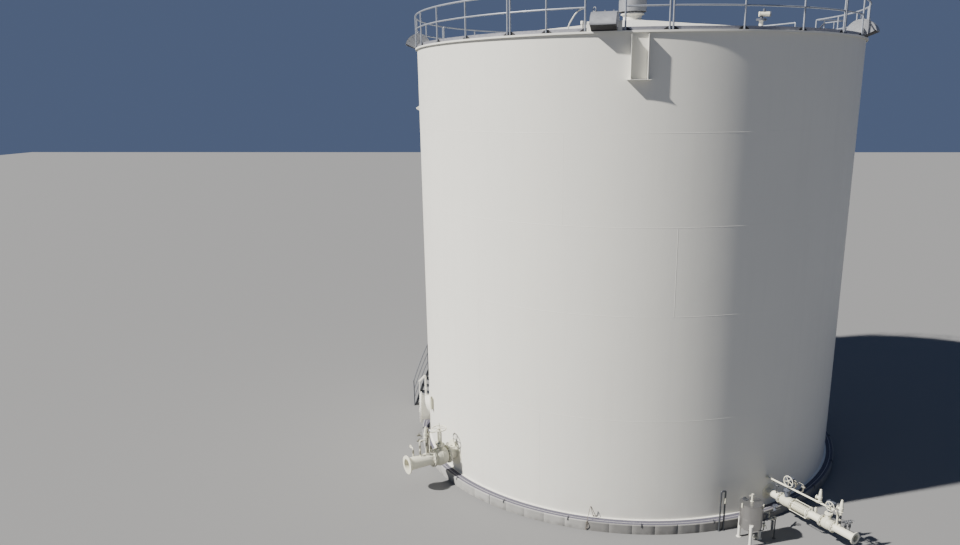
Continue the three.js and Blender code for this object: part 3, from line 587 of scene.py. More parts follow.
def rim_vent(number, azimuth):
    """A half-barrel hood over a screened gap in the toe plate."""
    place, axis, foot = turn(azimuth), LIP_TOP + VENT_RISE, LIP_TOP + GAP
    crown = axis + VENT_RADIUS

    def curve(radius):
        angles = [math.radians(a) for a in span(186, 15, 40)]
        return [(VENT_AXIS + radius * math.cos(a), axis + radius * math.sin(a)) for a in angles]
    outer, inner = curve(VENT_RADIUS), curve(VENT_RADIUS - VENT_SHEET)
    skin = Build(place)
    skin.sheet([(r, max(z, roof_top(r) + 0.002)) for r, z in outer + inner[::-1]], (-VENT_HALF, VENT_HALF))

    tip_reach, tip_level = outer[-1]
    gap_edge = SHELL + 0.03
    side = [point for point in outer if point[1] > roof_top(point[0]) + 0.004]
    back, over = side[0][0] + 0.02, TOE_TOP + 0.0005
    cheek = side + [(gap_edge, foot), (TOE + 0.0005, foot), (TOE + 0.0005, over), (ROOF_EDGE - 0.001, over),
                    (ROOF_EDGE - 0.001, roof_top(ROOF_EDGE) + 0.002), (back, roof_top(back) + 0.003)]
    for x in (-VENT_HALF, VENT_HALF - VENT_SHEET):
        skin.sheet(cheek, (x, x + VENT_SHEET))
        for a, b in zip(side[::5], side[5::5]):
            spot = x + (0.006 if x > 0 else -0.001), (a[0] + b[0]) / -2 * 0.999, (a[1] + b[1]) / 2 - 0.03
            skin.hexagon(0, 0, 0.009, -0.004, 0.009, along(SIDEWAYS, *spot))
    skin.box(VENT_HALF, (tip_reach - 0.004, tip_reach + 0.004), (tip_level - 0.03, tip_level))
    for x in (-0.22, 0.0, 0.22):
        skin.box((x - 0.012, x + 0.012), (VENT_AXIS - 0.02, VENT_AXIS + 0.02), (crown - 0.004, crown + 0.03))
    ring = move(-0.26, -VENT_AXIS, crown + 0.057) @ turn(50) @ SIDEWAYS
    skin.tube(circle(0.055, 20), 0.01, 8, closed=True, matrix=ring)
    skin.piece(f"rim_vent_{number}_hood", SHEET_ZINC, f"rim_vent_{number}")

    wings = Build(place)
    near = TOE + 0.009
    for sign in (-1, 1):
        for start, end, top in ((0.015, 0.118, 0.24), (-VENT_SHEET, 0.018, 0.06)):
            sides = sorted(sign * (VENT_HALF + x) for x in (start, end))
            wings.box(sides, (near, near + 0.008), (foot, foot + top))
        for z in (0.04, 0.2):
            spot = sign * (VENT_HALF + 0.067), -near - 0.008, foot + z
            wings.hexagon(0, 0, 0.011, 0, 0.009, along(OUTWARDS, *spot))
    wings.piece(f"rim_vent_{number}_wings", CREAM)

    # The mouth's bird screen: wire rods on a solid near-black sheet, which is painted shade for the dark
    # inside of the hood behind the wire.
    screen = Build(place)
    start = Vector((0, 0.004 - gap_edge, foot + 0.004))
    end = Vector((0, 0.012 - tip_reach, tip_level - 0.028))
    across = Vector((VENT_HALF - 0.006, 0, 0))
    normal = (end - start).cross(across).normalized() * 0.001
    screen.loft([[p + across * u + normal * v for u, v in slab(-1, 1, -1, 1)] for p in (start, end)])
    for t in span(-0.96, 0.96, 30):
        screen.rod(start + across * t + normal, end + across * t + normal, 0.0014, 4)
    screen.piece(f"rim_vent_{number}_screen", SCREEN)


# Roof rail
RAIL_RADIUS, RAIL_PIPE, RAIL_BEND, RAIL_TOP, RAIL_MIDDLE = SHELL + 0.032, 0.024, 0.09, 0.99, 0.568
# Post azimuths of each length. A true second value leaves out the middle rail after that post.
RAIL_LENGTHS = [
    [(-26.0, 0), (-17.5, 0), (-9.3, 1), (-1.3, 0), (7.3, 0)],
    [(8.0, 0), (22.5, 0), (37.0, 0), (51.1, 0)],
    [(51.8, 0), (62.5, 1), (70.4, 0), (82.0, 0), (93.5, 0), (105.0, 0), (115.4, 0)],
    [(124.0, 0), (134.5, 1), (142.4, 0), (154.3, 0), (166.2, 0), (178.1, 0), (190.0, 0)],
    [(190.7, 0), (206.5, 1), (214.4, 0), (226.2, 0), (238.0, 0), (253.9, 0)],
    [(254.6, 0), (266.6, 0), (278.6, 1), (286.5, 0), (297.3, 0), (309.0, 0), (321.0, 0), (333.3, 0)],
]
POSTS = [azimuth % 360 for posts in RAIL_LENGTHS for azimuth, _ in posts]


def rail_arc(start, end, height):
    return [polar(RAIL_RADIUS, a, height) for a in span(start, end, max(2, round((end - start) / 1.5)))]


def roof_rail(number, posts):
    base, bend = LIP_TOP + GAP, 0.8
    top = base + RAIL_TOP
    first, last = ([polar(RAIL_RADIUS, posts[end][0], z) for z in (base, top)] for end in (0, -1))
    path = first + rail_arc(posts[0][0] + bend, posts[-1][0] - bend, top) + last[::-1]
    path = rounded(path[:3], RAIL_BEND)[:-1] + path[2:-2] + rounded(path[-3:], RAIL_BEND)[1:]
    length = Build().tube(path, RAIL_PIPE, 14)
    for azimuth, _ in posts[1:-1]:
        length.rod(polar(RAIL_RADIUS, azimuth, base), polar(RAIL_RADIUS, azimuth, top), RAIL_PIPE, 14)
    for (azimuth, gap), (following, _) in zip(posts, posts[1:]):
        if not gap:
            length.tube(rail_arc(azimuth, following, base + RAIL_MIDDLE), RAIL_PIPE - 0.003, 12)
    length.piece(f"roof_rail_length_{number}", GALVANISED, f"roof_rail_{number}")


def foot_reach(azimuth, side):
    """How far a post's foot plate reaches to one side: short beside another post or a vent."""
    def ahead(others):
        return min((side * (other - azimuth)) % 360 or 360 for other in others)
    return 0.035 if ahead(POSTS) < 1.5 or ahead(VENT_AZIMUTHS) < 6 else 0.15


def rail_feet():
    base, near, plate = LIP_TOP + 0.0008, TOE + 0.0015, 0.009
    feet = Build()
    for azimuth in POSTS:
        place, left, right = turn(azimuth), foot_reach(azimuth, -1), foot_reach(azimuth, 1)
        outline = [(-left, 0), (right, 0), (right * 0.85, 0.03), (0.035, 0.088), (-0.035, 0.088),
                   (-left * 0.85, 0.03)]
        feet.loft([[(x, -reach, base + z) for x, z in outline] for reach in (near, near + plate)],
                  matrix=place)
        feet.box((-min(left, 0.06), min(right, 0.06)), (near, LIP - 0.004), (base, base + plate), place)
        for x in (-left + 0.03, right - 0.03):
            if abs(x) > 0.06:
                feet.hexagon(0, 0, 0.011, 0, 0.01, place @ along(OUTWARDS, x, -(near + plate), base + 0.02))
    feet.piece("rail_feet", SCREEN)


# Gauge near the roof's far edge, and the bracket under the rim
def gauge():
    reach, flange, height, pipe, edge = 6.2, 14.9, 15.09, 0.075, 0.19
    base, place, body = roof_top(reach) - 0.01, move(*polar(reach, GAUGE_AT)), along(SIDEWAYS, 0, 0, height)
    stand = Build(place).lathe([(pipe, base), (pipe, flange - 0.045), (pipe + 0.016, flange - 0.038),
                                (pipe + 0.016, flange - 0.036)])
    stand.lathe([(0, base), (edge, base - 0.012), (edge, base + 0.02), (pipe, base + 0.022)])
    stand.piece("gauge_standpipe", CREAM, "gauge_stand")
    cover = Build(place).bolts(0.155, 8, 0.018, flange - 0.036, flange + 0.026)
    cover.lathe([(edge, flange - 0.0355), (edge, flange - 0.006), (edge - 0.005, flange - 0.005),
                 (edge - 0.005, flange - 0.003), (edge, flange - 0.002), (edge, flange + 0.026),
                 (0.065, flange + 0.03), (0.06, height - 0.02)])
    cover.lathe([(0.048, 0.05), (0.048, 0.18), (0.04, 0.19)], 24, move(0.085, 0, height))
    cover.lathe([(0.096, 0.272), (0.096, 0.324), (0.09, 0.331)], matrix=body)
    cover.piece("gauge_cover", OPERATOR)
    head = [(0.09, -0.1), (0.095, -0.092), (0.095, -0.06), (0.083, -0.055), (0.083, 0.27), (0.095, 0.275),
            (0.095, 0.322), (0.09, 0.33)]
    Build(place).lathe(head, matrix=body).piece("gauge_instrument", PIPE, "gauge_head")


def rim_bracket():
    low, high, plate, wall, front = 12.6, 13.68, 0.012, SHELL + 0.0004, SHELL + 0.2
    bracket = Build(turn(BRACKET_AT)).box(0.3025, (wall - 0.004, front + 0.01), (low - plate, low))
    for x in (-0.21, 0.21):
        bracket.box((x - plate / 2, x + plate / 2), (wall, front), (low, high))
        for side in (-1, 1):
            foot = x + side * plate / 2
            bracket.prism([(foot, -wall), (foot + side * 0.007, -wall), (foot, -wall - 0.007)], low, high)
    bracket.piece("rim_bracket_plates", CREAM, "shell_bracket")


# Spiral stair, which climbs as its azimuth falls
STAIR_INNER, STAIR_OUTER, WEB = 7.46, 8.37, 0.005
DECK_INNER, DECK_OUTER = STAIR_INNER + WEB, STAIR_OUTER - WEB
FLIGHTS, RISERS, STAIR_TOP = 4, 17, 13.69
STAIR_FOOT, STAIR_END = -97.0, -237.5
RISER = STAIR_TOP / (FLIGHTS * RISERS)
TREAD = math.degrees(RISER / math.tan(math.radians(42)) / ((STAIR_INNER + STAIR_OUTER) / 2))
FLIGHT_ANGLE = RISERS * TREAD
REST = (STAIR_FOOT - STAIR_END - FLIGHTS * FLIGHT_ANGLE) / (FLIGHTS - 1)
STRINGER_LOW, STRINGER_HIGH = -0.24, 0.09
STAIR_RAIL, STAIR_PIPE = STAIR_OUTER + WEB + GAP + 0.024, 0.0212
# Rise above the treads and pipe radius of the handrail and the two rails below it
STAIR_RAILS = [(1.067, STAIR_PIPE), (0.71, STAIR_PIPE - 0.002), (0.355, STAIR_PIPE - 0.002)]
HANDRAIL = STAIR_RAILS[0][0]


def tread(build, nosing, back, level):
    """One tread: bars from stringer to stringer behind a thick nosing, cross rods and end plates."""
    middle, bars = (DECK_INNER + DECK_OUTER) / 2, 8
    for i, angle in enumerate(span(back, nosing, bars)):
        half = math.degrees((0.02 if i == bars else 0.0045) / 2 / middle)
        centre = angle + half * ((i == 0) - (i == bars))
        build.loft([[polar(r, centre + side, z) for side, z in slab(-half, half, level - 0.03, level)]
                    for r in (DECK_INNER, DECK_OUTER)])
    for radius in span(DECK_INNER + 0.05, DECK_OUTER - 0.05, 8):
        build.rod(polar(radius, back, level - 0.004), polar(radius, nosing, level - 0.004), 0.003, 5)
    for radius in (DECK_INNER, DECK_OUTER - 0.005):
        build.arc(slab(radius, radius + 0.005, level - 0.065, level), back, nosing, 1)


def grate(build, start, end, level, inner, outer, edge, depth, bars, steps, rods):
    """A landing's bearing bars, which run round the tank, and its cross rods."""
    for radius in span(inner + 0.003, outer - edge, bars):
        build.arc(slab(radius - 0.0022, radius + 0.0022, level - depth, level), start, end, steps)
    for azimuth in span(start, end, rods):
        build.box(0.0025, (inner, outer), (level - 0.012, level - 0.001), turn(azimuth))


def stair_bracket(build, azimuth, level):
    """A tee under the stringers, a brace down to the shell and the pads that both are welded to."""
    place, wall = turn(azimuth), SHELL + 0.001
    for half, low, high in ((0.03, 0.078, 0.07), (0.004, 0.13, 0.078)):
        build.box(half, (wall, STAIR_OUTER - 0.006), (level - low, level - high), place)
    low, high = Vector((0, -wall, level - 0.94)), Vector((0, -(STAIR_OUTER - 0.07), level - 0.12))
    side = Vector((1, 0, 0))
    up = (high - low).normalized().cross(side)
    angle = ((-0.022, -0.028), (0.022, -0.028), (0.022, -0.022), (-0.016, -0.022), (-0.016, 0.028),
             (-0.022, 0.028))
    build.loft([[p + side * u + up * v for u, v in angle] for p in (low, high)], matrix=place)
    for low, high in ((1.06, 0.86), (0.2, 0.02)):
        build.box(0.09, (wall - 0.001, wall + 0.008), (level - low, level - high), place)


def stair_flight(number):
    flight, last = number - 1, number == FLIGHTS
    start, level = STAIR_FOOT - flight * (FLIGHT_ANGLE + REST), flight * RISERS * RISER
    end, top = start - FLIGHT_ANGLE, level + RISERS * RISER
    line = [(start - FLIGHT_ANGLE * t, level + (top - level) * t) for t in span(0, 1, 30)]
    steel = Build()
    stair_bracket(steel, (start + end) / 2, (level + top) / 2)
    for step in range(0 if flight else 1, RISERS):
        nosing = start - step * TREAD
        tread(steel, nosing, max(nosing - 1.08 * TREAD, end + 0.005), level + step * RISER)
    if not last:
        line += [(end - REST * t, top) for t in span(0, 1, 10)[1:]]
        grate(steel, end, end - REST, top, DECK_INNER, DECK_OUTER, edge=0.003, depth=0.03, bars=28, steps=6,
              rods=max(4, int(REST / 0.75)))
        for azimuth in (end, end - REST):
            steel.box(0.003, (DECK_INNER, DECK_OUTER), (top - 0.032, top), turn(azimuth))
        for t in (0.15, 0.85):
            stair_bracket(steel, end - REST * t, top)
    for radius in (STAIR_INNER, STAIR_OUTER):
        web = slab(radius - WEB, radius + WEB, STRINGER_LOW, STRINGER_HIGH)
        steel.loft([[polar(r, a, z + h) for r, h in web] for a, z in line])
    for i, (x, y, z) in enumerate(steel.verts):
        ground = RINGWALL_TOP + 0.0005 if math.hypot(x, y) < RINGWALL + 0.06 else 0.0
        steel.verts[i] = Vector((x, y, max(z, ground)))
    steel.piece(f"stair_flight_{number}_steel", STAIR_ZINC_AND_SHADE, f"stair_flight_{number}")

    guard = Build()
    path = line if last else line[:-1] + [(line[-1][0] + 0.178, top)]
    for rise, pipe in STAIR_RAILS:
        guard.tube([polar(STAIR_RAIL, a, z + rise) for a, z in path], pipe)
    for t in span(0, 1, 3):
        azimuth, z = start - FLIGHT_ANGLE * t, level + (top - level) * t
        guard.rod(*(polar(STAIR_RAIL, azimuth, h) for h in (max(z - 0.15, 0), z + HANDRAIL)), STAIR_PIPE, 14)
        for low in (-0.11, 0.03) if z > 0.13 else (0.03,):
            guard.hexagon(0, 0, 0.013, 0, 0.012, turn(azimuth) @ along(SIDEWAYS, 0.022, -STAIR_RAIL, z + low))
    guard.piece(f"stair_rail_{number}_pipes", STAIR_ZINC_AND_SHADE, f"stair_rail_{number}")


def top_landing():
    start, end, level = 115.7, STAIR_END + 360 - 0.004, STAIR_TOP
    inner, middle, deck, guard = LIP + 0.008, (start + end) / 2, Build(), Build()
    grate(deck, start, end, level, inner, STAIR_OUTER - 0.006, edge=0.002, depth=0.032, bars=34, steps=8,
          rods=12)
    web = slab(STAIR_OUTER - WEB, STAIR_OUTER + WEB, level + STRINGER_LOW, level + STRINGER_HIGH)
    for outline in (slab(inner, inner + 0.005, level - 0.032, level), web):
        deck.arc(outline, start, end, 8)
    deck.box((0, 0.01), (STAIR_INNER, STAIR_OUTER), (level + STRINGER_LOW, level - 0.01), turn(start))
    for azimuth in (start + 0.4, end - 0.6):
        stair_bracket(deck, azimuth, level)
    deck.piece("top_landing_grating", GALVANISED, "top_landing")

    side, offset, post = turn(start), -0.0243, inner + 0.32
    for radius in (post, STAIR_RAIL):
        guard.stem(offset, radius, level - 0.15, level + HANDRAIL, STAIR_PIPE, 14, side)
    guard.rod(*(polar(STAIR_RAIL, middle, level + h) for h in (-0.15, HANDRAIL)), STAIR_PIPE, 14)
    for rise, pipe in STAIR_RAILS:
        path = [side @ Vector((offset, -reach, level + rise)) for reach in (post - 0.24, STAIR_RAIL)]
        path += [polar(STAIR_RAIL, a, level + rise) for a in span(start + 0.5, end - 0.18, 8)]
        guard.tube(rounded(path[:3], RAIL_BEND)[:-1] + path[2:], pipe)
    guard.piece("landing_rail_pipes", GALVANISED, "landing_rail")


# Shapes that the fittings on the shell share
def reinforcing_pad(build, height, inner, outer):
    """A ring plate that lies on the shell's curve."""
    rings = []
    for cosine, sine, _ in circle(1, 48):
        profile = ((inner, -0.002), (outer, -0.002), (outer, 0.0048), (outer - 0.004, 0.008), (inner, 0.008))
        rings.append([(r * cosine, -math.sqrt((SHELL + lift) ** 2 - (r * cosine) ** 2), height + r * sine)
                      for r, lift in profile])
    build.loft(rings, closed=True)


class Train:
    """A nozzle and what is bolted to it, in a frame that points outwards at the nozzle's azimuth."""

    def __init__(self, name, azimuth, height, pipe, flange, wall, studs, joints):
        self.name, self.height, self.pipe, self.flange, self.bore = name, height, pipe, flange, pipe - wall
        self.studs, self.joints = studs, joints
        self.place, self.axis = turn(azimuth), along(OUTWARDS, 0, 0, height)
        self.thick = flange * 0.1 + 0.006
        self.face = collar(flange - 0.003, flange, 0, self.thick, 0.003)

    def bolt(self, build, *joints):
        """The studs that draw two flanges together."""
        middle, thick = (self.flange + self.pipe) / 2 + 0.008, self.thick
        for joint in joints:
            build.bolts(middle, *self.studs, joint - thick, joint + thick, self.axis)

    def run(self, start, end, start_flange=True):
        """A pipe with a raised weld neck at each flange."""
        thick, pipe = self.thick, self.pipe
        neck = self.face + [(pipe + 0.03, thick), (pipe + 0.012, thick + 0.03), (pipe, thick + 0.07)]
        first = [(r, start + z) for r, z in neck] if start_flange else [(pipe, start)]
        last = [(r, end - z) for r, z in reversed(neck)]
        profile = [(self.bore, start), *first, *last, (self.bore, end)]
        return Build(self.place).lathe(profile, 48, self.axis, True)

    def nozzle(self, pad):
        build = self.run(SHELL - 0.05, self.joints[0] - GAP, start_flange=False)
        reinforcing_pad(build, self.height, self.pipe, pad)
        self.bolt(build, self.joints[0])
        build.piece(f"{self.name}_nozzle_pipe", PIPE, f"{self.name}_nozzle")

    def tail(self, circle_radius, depth):
        """The last pipe, whose outer flange stands open."""
        start, end = self.joints[-2:]
        build = self.run(start, end)
        build.bolts(circle_radius, *self.studs, end - self.thick, end - depth, self.axis)
        build.piece(f"{self.name}_pipe_end", PIPE, f"{self.name}_pipe")

    def gaskets(self):
        """The dark edge that shows between each two flanges."""
        build, flange = Build(self.place), self.flange
        for joint in self.joints[:-1]:
            build.band(flange - 0.006, flange + 0.0015, joint - 0.007, joint + 0.007, matrix=self.axis)
        build.piece(f"{self.name}_gaskets", DARK)

    def casting(self, start, end):
        """A flanged valve body with a rounded belly, a rib round it and a boss below."""
        build, pipe, thick = Build(self.place), self.pipe, self.thick
        middle, half = (start + end) / 2, (end - start) / 2
        rib = (half - thick) * 0.45
        neck = self.face + [(pipe * 1.12, thick + 0.004), (pipe * 1.06, thick + 0.02)]
        belly = [(pipe * (1.2 + 0.25 * math.sqrt(max(0.0, 1 - t * t))), middle + t * (half - thick - 0.022))
                 for t in span(-1, 1, 10)]
        first, last = [(r, start + z) for r, z in neck], [(r, end - z) for r, z in reversed(neck)]
        build.lathe(first + belly + last, 48, self.axis)
        ring = collar(pipe * 1.3, pipe * 1.5, middle - rib / 4, middle + rib / 4, rib / 20)
        build.lathe(ring, 48, self.axis, True)
        boss = (0.24, -1.62), (0.26, -1.5), (0.26, -1)
        return build.lathe([(pipe * r, self.height + pipe * z) for r, z in boss], 24, move(0, -middle, 0))


def handwheel(body, matrix, radius, spokes=5):
    """A cast wheel about local Z: round rim, curved spokes and hub."""
    edge, bore, hub = radius * 0.075, 0.0148, radius * 0.19
    wheel = Build(matrix).tube(circle(radius - edge, 48), edge, 12, closed=True)
    reaches = radius * 0.15, radius * 0.4, radius * 0.7, radius - edge
    spoke = [(reach, 0, z) for reach, z in zip(reaches, (0.004, 0.008, 0.006, 0))]
    for i in range(spokes):
        wheel.tube(spoke, radius * 0.045, 8, matrix=turn(360 * i / spokes))
    wheel.lathe([(bore, -0.023), (radius * 0.17, -0.023), (hub, -0.019), (hub, 0.019), (radius * 0.17, 0.023),
                 (bore, 0.023)], 24, closed=True)
    wheel.piece(f"{body}_rim", PALE_VALVE, body.replace("wheel", "handwheel"), body=body)


def small_valve(build, place, lever):
    """A quarter-turn valve: body, two end nuts and a lever. Its bore runs along local X."""
    bore = place @ SIDEWAYS
    build.lathe([(0.022, -0.06), (0.024, -0.04), (0.03, -0.03), (0.034, 0), (0.03, 0.03), (0.024, 0.04),
                 (0.022, 0.06)], 16, bore)
    for x in (-0.055, 0.04):
        build.hexagon(0, 0, 0.029, x, x + 0.016, bore)
    build.stem(0, 0, 0.02, 0.06, 0.009, 10, place)
    handle = [(-0.01, 0, 0.058), (0.03, 0, 0.06), (0.06, 0, 0.075), (lever, 0, 0.078)]
    build.tube(handle, 0.008, 8, matrix=place)


def small_valves(build, *rows):
    for x, reach, z, turned, lever in rows:
        small_valve(build, along(turned, x, -reach, z), lever)


def relief_valve(build, x, reach, z):
    """An upright spring-loaded valve: inlet flange, body with a side outlet, and a tall tapering bonnet."""
    place = move(x, -reach, z)
    build.lathe([
        (0.03, 0), (0.03, 0.03), (0.056, 0.032), (0.058, 0.036), (0.058, 0.05), (0.03, 0.053), (0.034, 0.075),
        (0.052, 0.095), (0.058, 0.12), (0.054, 0.15), (0.06, 0.156), (0.06, 0.176), (0.05, 0.18),
        (0.047, 0.22), (0.036, 0.33), (0.026, 0.345), (0.024, 0.39), (0.014, 0.4), (0, 0.402)], 24, place)
    for u, v, _ in circle(0.05, 6):
        build.hexagon(u, v, 0.008, 0.176, 0.186, place)
    build.lathe([(0.034, 0), (0.034, 0.075), (0.058, 0.078), (0.058, 0.096), (0, 0.098)], 20,
                place @ move(0, 0.02, 0.12) @ Matrix.Rotation(math.radians(-90), 4, "X"))
    build.elbow([(0.02, 0, 0.36), (0.05, 0, 0.375), (0.06, 0, 0.3)], 0.007, 0.02, 8, 6, place)


# Outlet train
OUTLET = Train("outlet", azimuth=38.3, height=0.7, pipe=0.1095, flange=0.1715, wall=0.0082,
               studs=(8, 0.022), joints=[7.64, 8.07, 8.66, 9.09, 9.46, 10.15])
RELIEF_SIDE, RELIEF_DROP, RELIEF_PIPE = -0.1, OUTLET.joints[4] + 0.1, 0.025
WHEEL_SIDE, WHEEL_OFFSET = -0.15, 0.12


def relief_height(reach):
    """The relief line rises a little outwards."""
    return 1.2 + 0.06 * (reach - SHELL) / (RELIEF_DROP - SHELL)


def gear_operator(bonnet, build, middle, low, wheel):
    """The bonnet, and the yoke, bevel box and shaft above it."""
    place, shaft = move(0, -middle, 0), middle + WHEEL_OFFSET
    top = (low + wheel) / 2
    bonnet.lathe([(0.08, low - 0.02), (0.074, low + 0.05), (0.078, top - 0.09), (0.105, top - 0.085),
                  (0.107, top - 0.08), (0.107, top - 0.04), (0.105, top - 0.035), (0.05, top - 0.03),
                  (0.042, top)], 28, place)
    bonnet.bolts(0.092, 8, 0.014, top - 0.085, top - 0.035, place)
    for x in (-0.034, 0.034):
        build.box((x - 0.009, x + 0.009), (-0.026, 0.026), (top - 0.02, wheel - 0.05), place)
    build.stem(0, 0, top - 0.02, wheel + 0.1, 0.014, 12, place)
    outline = [(-0.045, -0.18), (0.045, -0.18), (0.06, -0.16), (0.06, 0.06), (0.045, 0.08), (-0.045, 0.08),
               (-0.06, 0.06), (-0.06, -0.16)]
    build.prism(outline, wheel - 0.06, wheel + 0.048, place)
    build.prism([(x * 0.9, y * 0.94 - 0.003) for x, y in outline], wheel + 0.048, wheel + 0.06, place)
    for x in (-0.035, 0.035):
        for y in (-0.15, 0.055):
            build.hexagon(x, y, 0.009, wheel + 0.06, wheel + 0.067, place)
    build.lathe([(0.04, 0.05), (0.04, 0.085), (0.026, 0.09), (0.026, 0.11)], 20,
                along(tip(-90), 0, -shaft, wheel))
    build.rod((-0.05, -shaft, wheel), (-0.19, -shaft, wheel), 0.0142, 16)


def outlet_train():
    place, height, pipe, flange = OUTLET.place, OUTLET.height, OUTLET.pipe, OUTLET.flange
    joints, axis, thick, bore, top = OUTLET.joints, OUTLET.axis, OUTLET.thick, OUTLET.bore, height + pipe
    OUTLET.nozzle(pad=0.24)
    for number, start, end, wheel, radius in ((1, joints[0], joints[1] - GAP, 1.42, 0.17),
                                              (2, joints[3], joints[4] - GAP, 1.33, 0.14)):
        middle, name = (start + end) / 2, f"outlet_valve_{number}"
        valve, bonnet, operator = OUTLET.casting(start, end), Build(place), Build(place)
        OUTLET.bolt(valve, end + GAP)
        gear_operator(bonnet, operator, middle, top, wheel)
        # Valve 1's bonnet takes the dark operator paint as painted shade, for the tank's shadow on it, while
        # valve 2's bonnet stays pale; both gear boxes are dark.
        bonnet.piece(f"{name}_bonnet", (OPERATOR, PALE_VALVE)[number - 1])
        operator.piece(f"{name}_operator", OPERATOR)
        valve.piece(f"{name}_body", VALVE, name)
        hub = place @ along(SIDEWAYS, WHEEL_SIDE, -middle - WHEEL_OFFSET, wheel)
        handwheel(f"outlet_wheel_{number}", hub, radius)
    OUTLET.gaskets()

    start, end = joints[1], joints[2] - GAP
    near, far = start + thick, end - thick
    collars, bellows = Build(place), Build(place)
    for low, high in ((start, near), (far, end)):
        collars.band(bore, flange, low, high, matrix=axis)
    waves, length = 9, end - start - 0.18
    fold = [(pipe * (1.17 - 0.13 * math.cos(math.tau * waves * t)), start + 0.09 + length * t)
            for t in span(0, 1, waves * 6)]
    bellows.lathe([(bore, near), (pipe, near), *fold, (pipe, far), (bore, far)], 48, axis, True)
    for angle in (45, 135, 225, 315):
        cosine, sine = math.cos(math.radians(angle)), math.sin(math.radians(angle))
        for reach, side in ((near, 1), (far, -1)):
            lug = [(-0.02, 0), (0.02, 0), (0.014, side * -0.02), (-0.014, side * -0.02)]
            spot = (flange + 0.006) * cosine, -reach, height + (flange + 0.006) * sine
            collars.prism(lug, -0.03, 0.012, along(tip(90 - angle), *spot))
        x, z = (flange + 0.004) * cosine, height + (flange + 0.004) * sine
        bellows.rod((x, -(start + 0.002), z), (x, -(end - 0.002), z), 0.0095, 12)
        for reach in (start + 0.012, near + 0.03, far - 0.042, end - 0.024):
            bellows.hexagon(0, 0, 0.019, 0, 0.014, along(OUTWARDS, x, -reach, z))
    collars.piece("expansion_joint_collars", PIPE)
    bellows.piece("expansion_joint_bellows", PIPE, "outlet_expansion_joint")

    spool = OUTLET.run(joints[2], joints[3] - GAP).stem(0, 8.85, top - 0.01, height + 0.2, 0.02)
    OUTLET.bolt(spool, joints[2], joints[3])
    small_valves(spool, (0, 8.85, height + 0.225, SIDEWAYS, 0.1))
    spool.piece("outlet_spool_pipe", PIPE, "outlet_spool")
    OUTLET.tail(circle_radius=0.148, depth=0.03)

    line, side, drop, outer = Build(place), RELIEF_SIDE, RELIEF_DROP, RELIEF_PIPE
    line.elbow([(side, -(SHELL - 0.02), relief_height(SHELL)), (side, -drop, relief_height(drop)),
                (-0.01, -drop, relief_height(drop) - 0.16), (-0.01, -drop, top - 0.02)], outer, 0.05)
    for at in (7.35, 8.3, 8.95, 9.4):
        line.lathe(collar(outer, outer + 0.007, -0.02, 0.02), 20,
                   along(OUTWARDS, side, -at, relief_height(at)), True)
    line.band(outer - 0.002, 0.055, 0, 0.014, 24,
              along(OUTWARDS, side, -(SHELL + 0.02), relief_height(SHELL)))
    line.piece("relief_line_pipe", PIPE, "relief_line")
    relief, fittings = Build(place), Build(place)
    relief_valve(relief, side, 9.03, relief_height(9.03) + 0.01)
    relief.piece("relief_line_valve", PALE_VALVE)
    for at, lever in ((8.1, 0.14), (8.36, 0.17)):
        level, beside = relief_height(at), side + 0.13
        fittings.rod((side, -at, level), (beside, -at, level + 0.02), 0.016, 10)
        fittings.stem(beside, at, level + 0.01, level + 0.1, 0.016, 10)
        small_valves(fittings, (beside, at, level + 0.14, turn(90), lever))
    fittings.piece("relief_line_fittings", FITTING)

    riser, at, sampling = Build(place), drop + 0.08, Build(place)
    riser.stem(0, at, top - 0.012, 1.205, 0.022, 14)
    for z in (top + 0.03, 1.0, 1.16):
        riser.lathe(collar(0.02, 0.032, z - 0.02, z + 0.02), 18, move(0, -at, 0), True)
    relief_valve(riser, 0, at, 1.2)
    riser.piece("outlet_relief_valve", PALE_VALVE, "relief_valve")
    for z in (0.93, 1.08):
        small_valves(sampling, (0, at, z, tip(-90), 0.13))
    for reach, rise in ((9.8, 0.3), (9.92, 0.38)):
        sampling.stem(0.03, reach, top - 0.02, height + rise, 0.014, 10)
        small_valves(sampling, (0.03, reach, height + rise, turn(-90), 0.12),
                     (0.03, reach, height + rise - 0.13, tip(-90), 0.1))
    sampling.stem(-0.04, 7.5, top - 0.02, height + 0.3, 0.016, 10)
    small_valves(sampling, (-0.04, 7.5, height + 0.34, turn(90), 0.15))
    sampling.piece("outlet_small_valves", DARK)


# Inlet train
INLET = Train("inlet", azimuth=-48.4, height=0.9, pipe=0.203, flange=0.298, wall=0.0095,
              studs=(16, 0.026), joints=[7.43, 7.98, 8.9])
INLET_WHEEL = 1.86


def oval(width, depth):
    """A rounded rectangle whose short ends are half circles."""
    radius, angles = depth / 2, span(-math.pi / 2, math.pi / 2, 8)
    points = [(width / 2 - radius + radius * math.cos(a), radius * math.sin(a)) for a in angles]
    return points + [(-x, -y) for x, y in points]


